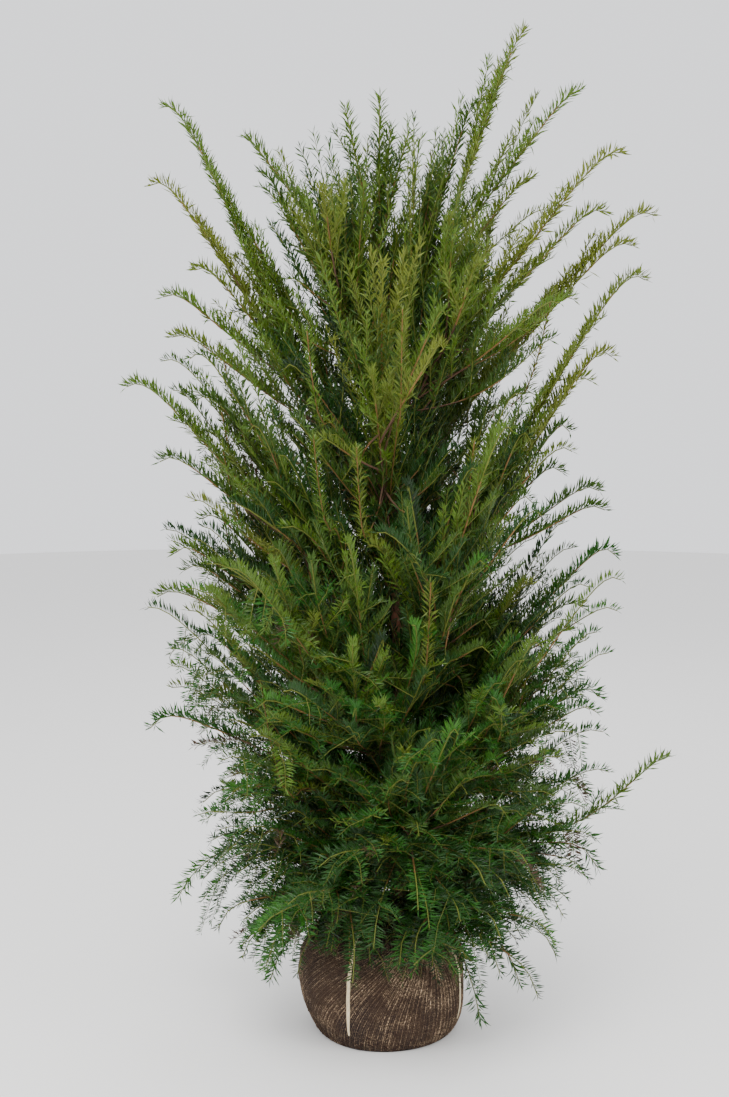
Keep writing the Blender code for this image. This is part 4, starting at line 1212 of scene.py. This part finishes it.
def twigs_of(shoot, chance, first):
    """Twigs to both sides of a shoot by turns, as arrays of points, and the spacing of their needles."""
    length = outline(shoot.path)
    spots = np.arange(first, length[-1] - shoot.bare, shoot.step)
    count = len(spots)
    foot = np.stack([np.interp(spots, length, shoot.path[:, axis]) for axis in range(3)], axis=1)
    turn, rank, out = (np.interp(spots, length, values) for values in (shoot.turn, shoot.rank, shoot.out))
    bushy = bushiness(rank)
    slope = at_rank(rank, LINE_SLOPES) - 2 * at_rank(rank, LINE_SAGS) * out
    own_slope = np.interp(spots, length, np.gradient(shoot.path[:, 2], shoot.out))
    steeper = np.clip(own_slope - slope, 0.0, STEEPER)
    left = (length[-1] - spots) / length[-1]
    shrunk = TWIG_SHRINKING[0] + TWIG_SHRINKING[1] * np.sqrt(left)
    size = chance.uniform(*TWIG_LENGTHS, count) * shrunk * (1 - BUSHY_SHORTER * bushy)
    parting = TWIG_PARTING * chance.uniform(*TWIG_PARTINGS, count) * (1 + BUSHY_WIDER * bushy)
    onward = size * np.cos(parting) / np.sqrt(1 + slope**2)
    body = crown_reach(turn, rank) * chance.uniform(*BODY_REACHES, count)
    free = LONG_FREE if shoot.dense else TWIG_FREE
    end_out = np.minimum(out + onward, np.maximum(body, out + free * onward))
    aside = size * np.sin(parting) * (end_out - out) / onward
    across = np.where(np.arange(count) % 2 == 0, 1.0, -1.0)
    tilt = chance.uniform(shoot.tilts[0] * (1 + bushy), shoot.tilts[1], count)
    rank_rise = (line(turn, rank + RANK_STEP / 10, end_out) - line(turn, rank, end_out))[:, 2]
    turn_change = across * aside * np.cos(tilt) / np.maximum(end_out, TWIG_NEAREST)
    rank_change = aside * np.sin(tilt) * (RANK_STEP / 10) / rank_rise
    share = np.linspace(0.0, 1.0, TWIG_POINTS)[None, :]
    swing = 1 - (1 - share) ** FAN_POWER
    places = line(
        turn[:, None] + turn_change[:, None] * swing,
        rank[:, None] + rank_change[:, None] * swing,
        out[:, None] + (end_out - out)[:, None] * share,
    )
    places += (foot - places[:, 0])[:, None, :] * (1 - share[..., None])
    places[..., 2] += (steeper * (end_out - out))[:, None] * share
    places[..., 2] -= (TWIG_NOD * size * size)[:, None] * share**3
    return places, np.interp(end_out / crown_reach(turn, rank), LEAFY_SHARES, TWIG_SPACINGS)


# The tints of the needles, from the darkest, which paint the shade inside the crown, to the young tips, for
# the low and for the high sprays
TINTS = {
    "needles_deep": (0.0060, 0.0210, 0.0035),
    "needles_dark": (0.0110, 0.0440, 0.0045),
    "needles_pure": (0.0150, 0.0760, 0.0050),
    "needles_fresh": (0.0330, 0.1150, 0.0080),
    "needles_mid": (0.0310, 0.0690, 0.0055),
    "needles_light": (0.0630, 0.1170, 0.0090),
    "needles_yellow": (0.0860, 0.1210, 0.0110),
    "needles_golden": (0.1120, 0.1380, 0.0140),
    "needles_brown": (0.0540, 0.0300, 0.0150),
}
LOW_TINTS = ("deep", "dark", "pure", "fresh", "light")
HIGH_TINTS = ("deep", "dark", "mid", "light", "yellow", "golden")
HIGH_TINTS_FROM = 0.38
HIGH_TINTS_FADE = 0.80
DEAD_SHARE = 0.008
DEAD_LOW = 3  # how many times more of them are dead low down
# How bright a spray's tint is: low at the trunk, which paints the shade inside the crown
BRIGHTNESS = (0.14, 0.46, 0.28)  # at the trunk, more at the crown's side, and more at its top
BRIGHTNESS_SCATTER = 0.20
BRIGHT_FROM = 1.2
BRIGHT_FADE = 0.5
LIFT_FROM = 0.4
LIFT_FADE = 0.5
LIFTS = (0.30, 0.70, 0.2)  # of a shoot's needles low down, how much more high up, and how much it varies


def tint_of(place, brightness, chance):
    """The tint of a spray."""
    high = chance.uniform() < (place[2] - HIGH_TINTS_FROM) / HIGH_TINTS_FADE
    family = HIGH_TINTS if high else LOW_TINTS
    return family[int(np.clip(brightness * (len(family) - 1), 0, len(family) - 1))]


def brightness_at(place, chance):
    """0 for a spray at the trunk, in painted shade, to 1 for one at the crown's side, and brighter near the
    top.
    """
    x, y = trunk_axis(place[2])
    away = math.hypot(place[0] - x, place[1] - y) / CROWN_WIDEST
    top = faded(place[2], BRIGHT_FROM, BRIGHT_FADE)
    inside, side, high = BRIGHTNESS
    return inside + side * away + high * top + chance.normal(0.0, BRIGHTNESS_SCATTER)


class Growth:
    """The shoots and twigs of one tier of masses, with what the wood and the needles need along them."""

    def __init__(self):
        self.paths, self.columns = [], {}

    def add(self, path, thickness, age, spacing, tint, vigour, upright=1.0, lift=0.4, bare=0.0):
        """Adds a path with the radius and age of its wood, and how its needles stand along it."""
        numbers = {"thickness": thickness, "age": age, "spacing": spacing, "vigour": vigour}
        numbers |= {"upright": upright, "lift": lift, "bare": bare}
        numbers["tint"] = list(TINTS).index(f"needles_{tint}")
        self.paths.append(path)
        for title, value in numbers.items():
            self.columns.setdefault(title, []).append(np.broadcast_to(value, len(path)))

    def source(self, name):
        numbers = {title: np.concatenate(parts) for title, parts in self.columns.items()}
        return strands(name, self.paths, **numbers)


def in_glimpse(path):
    """Whether a path crosses a gap through which the trunk shows."""
    for x, bottom, top, wide in GLIMPSES:
        inside = (np.abs(path[:, 0] - x) < wide) & (path[:, 2] > bottom) & (path[:, 2] < top)
        if (inside & (path[:, 1] < GLIMPSE_DEPTH)).any():
            return True
    return False


def grow_twigs(shoot, index, growth, chance, brightness, first=TWIG_FIRST):
    """Adds a shoot's twigs, each cut where it would leave its mass's space."""
    if outline(shoot.path)[-1] - shoot.bare <= first:
        return
    places, spacings = twigs_of(shoot, chance, first)
    closer = 1 - BUSHY_NEEDLES * shoot.bushy
    for path, good, spacing in zip(places, fits(places, index), spacings):
        count = TWIG_POINTS if good[1:].all() else int(np.argmin(good[1:])) + 1
        if count < 3 or in_glimpse(path) or (path[-1][2] > TWIG_TOP and not shoot.dense):
            continue
        share = np.linspace(0.0, 1.0, count)
        slender = TWIG_RADIUS + (TWIG_TIP_RADIUS - TWIG_RADIUS) * share
        bright = (brightness + brightness_at(path[-1], chance)) / 2
        dead = chance.uniform() < DEAD_SHARE * (1 + DEAD_LOW * shoot.bushy)
        growth.add(
            path,
            thickness=slender * (1 - BUSHY_WOOD * shoot.bushy),
            age=np.clip(TWIG_AGE - share * TWIG_YOUNGER, 0.0, 1.0),
            upright=shoot.upright * chance.uniform(*TWIG_UPRIGHTS),
            lift=chance.uniform(*TWIG_LIFTS),
            spacing=spacing * closer,
            tint="brown" if dead else tint_of(path[-1], bright, chance),
            vigour=chance.uniform(*TWIG_VIGOURS) * closer,
        )


def long_shoots(index, chance, scatter, seat, first, reach):
    """A mass's stem, its fan of long shoots and the slighter ones at the crown's side."""
    yield Shoot(seat, seat, first, reach, STEM_RADIUS * slimness(index))
    ends = fan(index, chance)
    for number, (turn, rank, end_reach, late) in enumerate(ends):
        out = first + SHOOT_BASE * reach * (number + 0.5) / len(ends)
        kept = {"late": late}
        if (turn, rank, end_reach) in long_ends:
            kept |= {"step": LONG_TWIG_STEP, "bare": LONG_BARE_TIP, "dense": True, "rise": 0.0}
        while not kept.get("dense") and line(turn, rank, end_reach)[2] > FAN_TOP:
            end_reach -= REACH_STEP
        yield Shoot(seat, (turn, rank), out, end_reach, SHOOT_RADIUS, **kept)
    for turn, rank, end_reach in side_ends:
        if own_cell(turn, rank)[0] == index:
            out = first * scatter.uniform(*WHIP_STARTS)
            kept = {"step": LONG_TWIG_STEP, "bare": SIDE_BARE_TIP, "dense": True, "rise": 0.0}
            yield Shoot(seat, (turn, rank), out, end_reach, SIDE_RADIUS, **kept)


def whips(index, scatter, seat, first):
    """The finer shoots of a mass: those of the crown, those of the skirt and the short ones on the trunk."""
    for number, (turn, rank, cell) in enumerate(whip_lines):
        crowded = faded(rank, *TOP_THINNING[:2]) * TOP_THINNING[2]
        kept = scatter.uniform() < (at_rank(rank, CROWN_REACHES) / CROWN_WIDEST) ** 2 * (1 - crowded)
        if cell != index or not kept:
            continue
        bushy = bushiness(rank)
        out = first * scatter.uniform(*WHIP_STARTS)
        long = number % LONG_WHIP_EVERY == 0 and LONG_WHIP_RANKS[0] < rank < LONG_WHIP_RANKS[1]
        reaches = LONG_WHIP_REACHES if long else WHIP_REACHES[number % len(WHIP_REACHES)]
        top = scatter.uniform(*WHIP_TOPS)
        deepest = DEEPEST / max(abs(math.sin(turn)), 0.1)
        reach = max(out + WHIP_LEAST, min(deepest, scatter.uniform(*reaches) * crown_reach(turn, rank)))
        tip = line(turn, rank, reach)
        while (tip[2] > top or abs(tip[0]) > WIDEST) and reach > out + WHIP_LEAST:
            reach -= REACH_STEP
            tip = line(turn, rank, reach)
        sway = (
            scatter.normal(0.0, WHIP_SWAY * (1 + BUSHY_SWAY * bushy)) / GIRTH,
            scatter.normal(0.0, WHIP_SWAY * WHIP_RISE_SWAY) / SPREAD,
        )
        step = WHIP_TWIG_STEP * (1 - BUSHY_TWIGS * bushy)
        bare = WHIP_BARE_TIP * (1 - BUSHY_TIP * bushy)
        whip = Shoot(seat, (turn, rank), out, reach, WHIP_RADIUS, step, bare, sway=sway, nod=WHIP_NOD)
        if whip.cut(index, scatter.uniform(*WHIP_BOTTOMS)) and not in_glimpse(whip.path):
            yield whip
    for turn, rank, cell in skirt_lines:
        if cell == index:
            out = first * scatter.uniform(*WHIP_STARTS)
            reach = max(out + WHIP_LEAST, scatter.uniform(*SKIRT_REACHES) * crown_reach(turn, rank))
            hanging = {"step": SKIRT_TWIG_STEP, "bare": SKIRT_BARE_TIP, "rise": SKIRT_RISE}
            whip = Shoot(seat, (turn, rank), out, reach, WHIP_RADIUS, tilts=SKIRT_TILTS, **hanging)
            if whip.cut(index, scatter.uniform(*SKIRT_BOTTOMS)):
                yield whip
    for turn, rank, cell in inner_lines:
        if cell == index:
            seat = (turn, rank)
            reach = scatter.uniform(*INNER_WHIP_REACHES) * at_rank(rank, CROWN_REACHES) / CROWN_WIDEST
            yield Shoot(seat, seat, INNER_WHIP_START, reach, WHIP_RADIUS, INNER_WHIP_STEP, INNER_WHIP_BARE)


def grow_mass(index, growth):
    """One mass: its stem, its fan of long shoots, the whips between them, and their twigs."""
    chance = random.Random(SEED + index)
    scatter = np.random.RandomState(SEED + index)
    seat = (SEAT_TURNS[index], SEAT_RANKS[index])
    first, reach = bough_end(index), at_rank(seat[1], LINE_REACHES)
    shoots = [*long_shoots(index, chance, scatter, seat, first, reach), *whips(index, scatter, seat, first)]
    for shoot in shoots:
        brightness = max(brightness_at(shoot.path[-1], scatter), LONG_BRIGHTNESS if shoot.dense else 0.0)
        raised = faded(shoot.path[-1][2], LIFT_FROM, LIFT_FADE)
        growth.add(
            shoot.path,
            thickness=shoot.thickness,
            age=np.clip(SHOOT_AGE - shoot.share * (LONG_YOUNGER if shoot.dense else SHOOT_YOUNGER), 0.0, 1.0),
            upright=shoot.upright,
            lift=LIFTS[0] + LIFTS[1] * raised + scatter.uniform(-LIFTS[2], LIFTS[2]),
            spacing=LONG_SPACING if shoot.dense else SHOOT_SPACING,
            bare=SHOOT_BARE_SHARE,
            tint=tint_of(shoot.path[-1], brightness, scatter),
            vigour=LONG_VIGOUR if shoot.dense else scatter.uniform(*SHOOT_VIGOURS),
        )
        grow_twigs(shoot, index, growth, scatter, brightness)
    for cell, turn, rank, out, length in plumes:
        if cell != index:
            continue
        carrier = Shoot(seat, (turn, rank), first * 0.5, out, WHIP_RADIUS)
        carrier.path[:, 2] += (line(turn, rank, out)[2] - carrier.path[-1, 2]) * carrier.share
        share = np.linspace(0.0, 1.0, PLUME_STEPS)[:, None]
        away = np.array((math.cos(turn), math.sin(turn), 0.0)) * PLUME_LEAN * length
        plume = carrier.path[-1] + away * np.sqrt(share) + np.array((0.0, 0.0, length)) * share
        for path, thick, upright, spacing in (
            (carrier.path, carrier.thickness, 0.5, SHOOT_SPACING),
            (plume, WHIP_RADIUS * 0.8, 1.0, LONG_SPACING),
        ):
            tint = "light" if scatter.uniform() < 0.5 else "yellow"
            growth.add(path, thick, 0.4, spacing, tint, 0.85, upright, lift=0.5)
    bough = Shoot(seat, seat, 0.0, first, BOUGH_RADIUS, INNER_STEP, 0.0)
    # The twigs along the bough take the dark tints of painted shade
    grow_twigs(bough, index, growth, scatter, INNER_SHADE_BRIGHTNESS, INNER_FIRST)


def grow_leader(growth):
    """The shoots at the top, on the trunk's own tip."""
    scatter = np.random.RandomState(SEED + BOUGH_COUNT)
    foot = np.array((*trunk_axis(TRUNK_TOP), TRUNK_TOP))
    for number, tip in enumerate(LEADER_TIPS):
        base = foot + np.array((0.0, 0.0, LEADER_STEP * number))
        length = np.linalg.norm(tip - base)
        share = np.linspace(0.0, 1.0, max(4, round(length / CURVE_STEP)) + 1)
        thick = TRUNK_TOP_RADIUS * (1 - share) + SHOOT_TIP_RADIUS * share
        age = np.clip(1.0 - share * 1.2, 0.0, 1.0)
        path = base + (tip - base) * share[:, None]
        growth.add(path, thick, age, LONG_SPACING, "light", LONG_VIGOUR, bare=0.1)
        for twig, spot in enumerate(np.arange(LEADER_FIRST, length - LEADER_BARE_TIP, TWIG_STEP)):
            side = twig * GOLDEN_ANGLE + number
            shrunk = LEADER_TWIG_SHARES[0] + LEADER_TWIG_SHARES[1] * (1 - spot / length)
            size = scatter.uniform(*LEADER_TWIG_LENGTHS) * shrunk
            ahead = (tip - base) / length
            aside = np.array((math.cos(side), math.sin(side), 0.0))
            share = np.linspace(0.0, 1.0, TWIG_POINTS)
            swing = (1 - (1 - share[:, None]) ** FAN_POWER) * LEADER_TWIG_SPREAD
            onward = spot + size * share[:, None] * LEADER_TWIG_AHEAD
            path = base + ahead * onward + aside * size * swing
            thick = TWIG_RADIUS * (1 - share) + TWIG_TIP_RADIUS * share
            tint = tint_of(path[-1], brightness_at(path[-1], scatter), scatter)
            growth.add(path, thick, 0.3, TWIG_SPACINGS[1], tint, 0.9)


BROWN_AGE = 0.35
OLD_AGE = 0.70
WOODS = {
    "Old bark": Finish("old_twig_bark", (0.095, 0.048, 0.028), 0.75, 0.3).material,
    "Brown bark": Finish("orange_brown_twig", (0.165, 0.085, 0.026), 0.65, 0.3).material,
    "Green bark": Finish("green_twig", (0.110, 0.125, 0.018), 0.60, 0.25).material,
}
twig_tree = GeometryTree("twigs", {"Sides": "Int", **dict.fromkeys(WOODS, "Material")})
twig_tube = twig_tree.tube(twig_tree.named("thickness"))
twig_smooth = twig_tree.node("GeometryNodeSetShadeSmooth", (twig_tube, None, True))
twig_wood = twig_tree.finished(twig_smooth, "Green bark")
for title, age in (("Brown bark", BROWN_AGE), ("Old bark", OLD_AGE)):
    older = twig_tree.node("FunctionNodeCompare", (twig_tree.named("age"), age), operation="GREATER_THAN")
    twig_wood = twig_tree.finished(twig_wood, title, older)
twig_tree.end(twig_wood)

# The masses of each tier, from the ball up. All twigs of a tier are one piece.
TIERS = {
    "skirt": range(0, 4),
    "low": range(4, 7),
    "waist": range(7, 10),
    "middle": range(10, 13),
    "breast": range(13, 16),
    "upper": range(16, 19),
    "shoulder": range(19, 22),
    "top": range(22, 26),
}
tiers = []
for tier, masses in TIERS.items():
    growth = Growth()
    nodes = [f"foliage_{bough_name(index)}" for index in masses]
    for index in masses:
        grow_mass(index, growth)
    if tier == "top":
        grow_leader(growth)
        nodes.append("foliage_leader")
    tiers.append((tier, growth, nodes))
    name = f"twigs_{tier}"
    twig_values = {"Sides": TWIG_SIDES, **WOODS}
    twigs = piece_of(name, twig_tree.applied(growth.source(name), name, twig_values))
    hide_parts(*nodes)
    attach(twigs, "root")

# Needles
# Flat dark green needles sit a few millimetres apart and turn to both sides of a twig, or stand all round an
# upright one. They grow short and point forwards at a tip. Each is a little larger than in life. All needles
# of a tier are one piece.
NEEDLE_LENGTH = 0.029
NEEDLE_HALF_WIDTH = 0.070  # of its length, at its widest
NEEDLE_WIDEST = 0.50  # along it
NEEDLE_FOLD = 0.03  # how far its two halves stand up from the midrib
NEEDLE_TIP_DROP = 0.02
NEEDLE_SLANT = math.radians(60)
TIP_SLANT = math.radians(42)
UNEVENNESS = 0.7  # of the spacing
LIFT_SCATTER = 0.35
ROUND_SCATTER = 0.3
SLANT_SCATTER = 0.2
FACING_SCATTER = 0.5
LENGTH_SHARES = (0.72, 1.12)
TIP_POWER = 0.6
LEAST_RISE = 0.4
RISE = 0.30  # how much all needles turn upwards
TIP_ZONE = 0.025
TIP_SHARE = 0.68

needle_mesh = bpy.data.meshes.new("needle")
needle_foot, needle_tip = (0.0, 0.0, 0.0), (0.0, 1.0, -NEEDLE_TIP_DROP)
needle_left, needle_right = ((side * NEEDLE_HALF_WIDTH, NEEDLE_WIDEST, NEEDLE_FOLD) for side in (-1.0, 1.0))
needle_mesh.from_pydata([needle_foot, needle_tip, needle_left, needle_right], [], [(0, 1, 2), (0, 3, 1)])
needle_holder = bpy.data.objects.new("needle", needle_mesh)

needle_values = {
    "Length": NEEDLE_LENGTH,
    "Slant": NEEDLE_SLANT,
    "Tip slant": TIP_SLANT,
    "Rise": RISE,
    "Tip zone": TIP_ZONE,
    "Tip share": TIP_SHARE,
}
needle_finishes = {name: Finish(name, colour, 0.40, 0.24).material for name, colour in TINTS.items()}
needle_kinds = {"Needle": "Object", **dict.fromkeys(needle_values, "Float"), "Seed": "Int"}
needle_tree = GeometryTree("needles", needle_kinds | dict.fromkeys(TINTS, "Material"))
node, given, named = needle_tree.node, needle_tree.given, needle_tree.named
needle_line = node("GeometryNodeMeshToCurve", (given("Geometry"),))
spacing = named("spacing")
needle_feet = node("GeometryNodeResampleCurve", {"Curve": needle_line, "Length": spacing}, mode="LENGTH")
ahead = node("GeometryNodeInputTangent")
number = node("GeometryNodeInputIndex")
across = node("ShaderNodeVectorMath", ((0.0, 0.0, 1.0), ahead), operation="CROSS_PRODUCT").vector("NORMALIZE")
upward = ahead.vector("CROSS_PRODUCT", across)
along = node("GeometryNodeSplineParameter", (), "Length")
whole = node("GeometryNodeSplineLength", (), "Length")


def scattered(low, high, salt, kind="FLOAT"):
    """A value by chance for each needle."""
    values = {"Min": low, "Max": high, "ID": number, "Seed": given("Seed") + salt}
    return node("FunctionNodeRandomValue", values, data_type=kind)


uneven = ahead.scaled(spacing * scattered(-UNEVENNESS, UNEVENNESS, 6))
needle_feet = node("GeometryNodeSetPosition", {"Geometry": needle_feet, "Offset": uneven})
from_tip = ((whole - along) / given("Tip zone")).clamped() ** TIP_POWER
side = (number % 2.0) * 2.0 - 1.0
raised = named("lift") + scattered(-LIFT_SCATTER, LIFT_SCATTER, 1)
round_turn = number * GOLDEN_ANGLE + scattered(-ROUND_SCATTER, ROUND_SCATTER, 2)
erect = needle_tree.sum("MAXIMUM", named("upright"), 1.0 - from_tip)
across_share = side * raised.cosine() * (1.0 - erect) + round_turn.cosine() * erect
up_share = raised.sine() * (1.0 - erect) + round_turn.sine() * erect
outward = across.scaled(across_share).vector("ADD", upward.scaled(up_share))
slant = given("Tip slant") + (given("Slant") - given("Tip slant")) * from_tip
slant = slant + scattered(-SLANT_SCATTER, SLANT_SCATTER, 3)
aim = ahead.scaled(slant.cosine()).vector("ADD", outward.scaled(slant.sine()))
rise = node("ShaderNodeCombineXYZ", (0.0, 0.0, given("Rise") * (LEAST_RISE + named("lift"))))
facing = upward.scaled(1.0 - erect).vector("ADD", ahead.scaled(erect))
facing = facing.vector("ADD", scattered((-FACING_SCATTER,) * 3, (FACING_SCATTER,) * 3, 4, "FLOAT_VECTOR"))
turned = node(
    "FunctionNodeAxesToRotation", (aim.vector("ADD", rise), facing), primary_axis="Y", secondary_axis="Z"
)
full_length = given("Length") * named("vigour")
tip_share = given("Tip share")
grown = full_length * (tip_share + (1.0 - tip_share) * from_tip) * scattered(*LENGTH_SHARES, 5)
needle_place = node("GeometryNodeSplineParameter", (), "Factor")
leafy = node("FunctionNodeCompare", (needle_place, named("bare")), operation="GREATER_EQUAL")
needle_blade = node("GeometryNodeObjectInfo", (given("Needle"),), "Geometry")
needle_set = node(
    "GeometryNodeInstanceOnPoints",
    {"Points": needle_feet, "Selection": leafy, "Instance": needle_blade, "Rotation": turned, "Scale": grown},
)
tinted = node("GeometryNodeRealizeInstances", (needle_set,))
tint = named("tint", "INT")
for tint_number, tint_name in enumerate(TINTS):
    same = node("FunctionNodeCompare", (tint, tint_number), data_type="INT", operation="EQUAL")
    tinted = needle_tree.finished(tinted, tint_name, same)
needle_tree.end(tinted)

for tier_number, (tier, growth, nodes) in enumerate(tiers):
    name = f"needles_{tier}"
    seeded = {"Needle": needle_holder, "Seed": SEED * 10 + tier_number, **needle_values, **needle_finishes}
    needles = piece_of(name, needle_tree.applied(growth.source(name), name, seeded))
    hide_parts(*nodes)
    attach(needles, "root")
bpy.data.objects.remove(needle_holder)
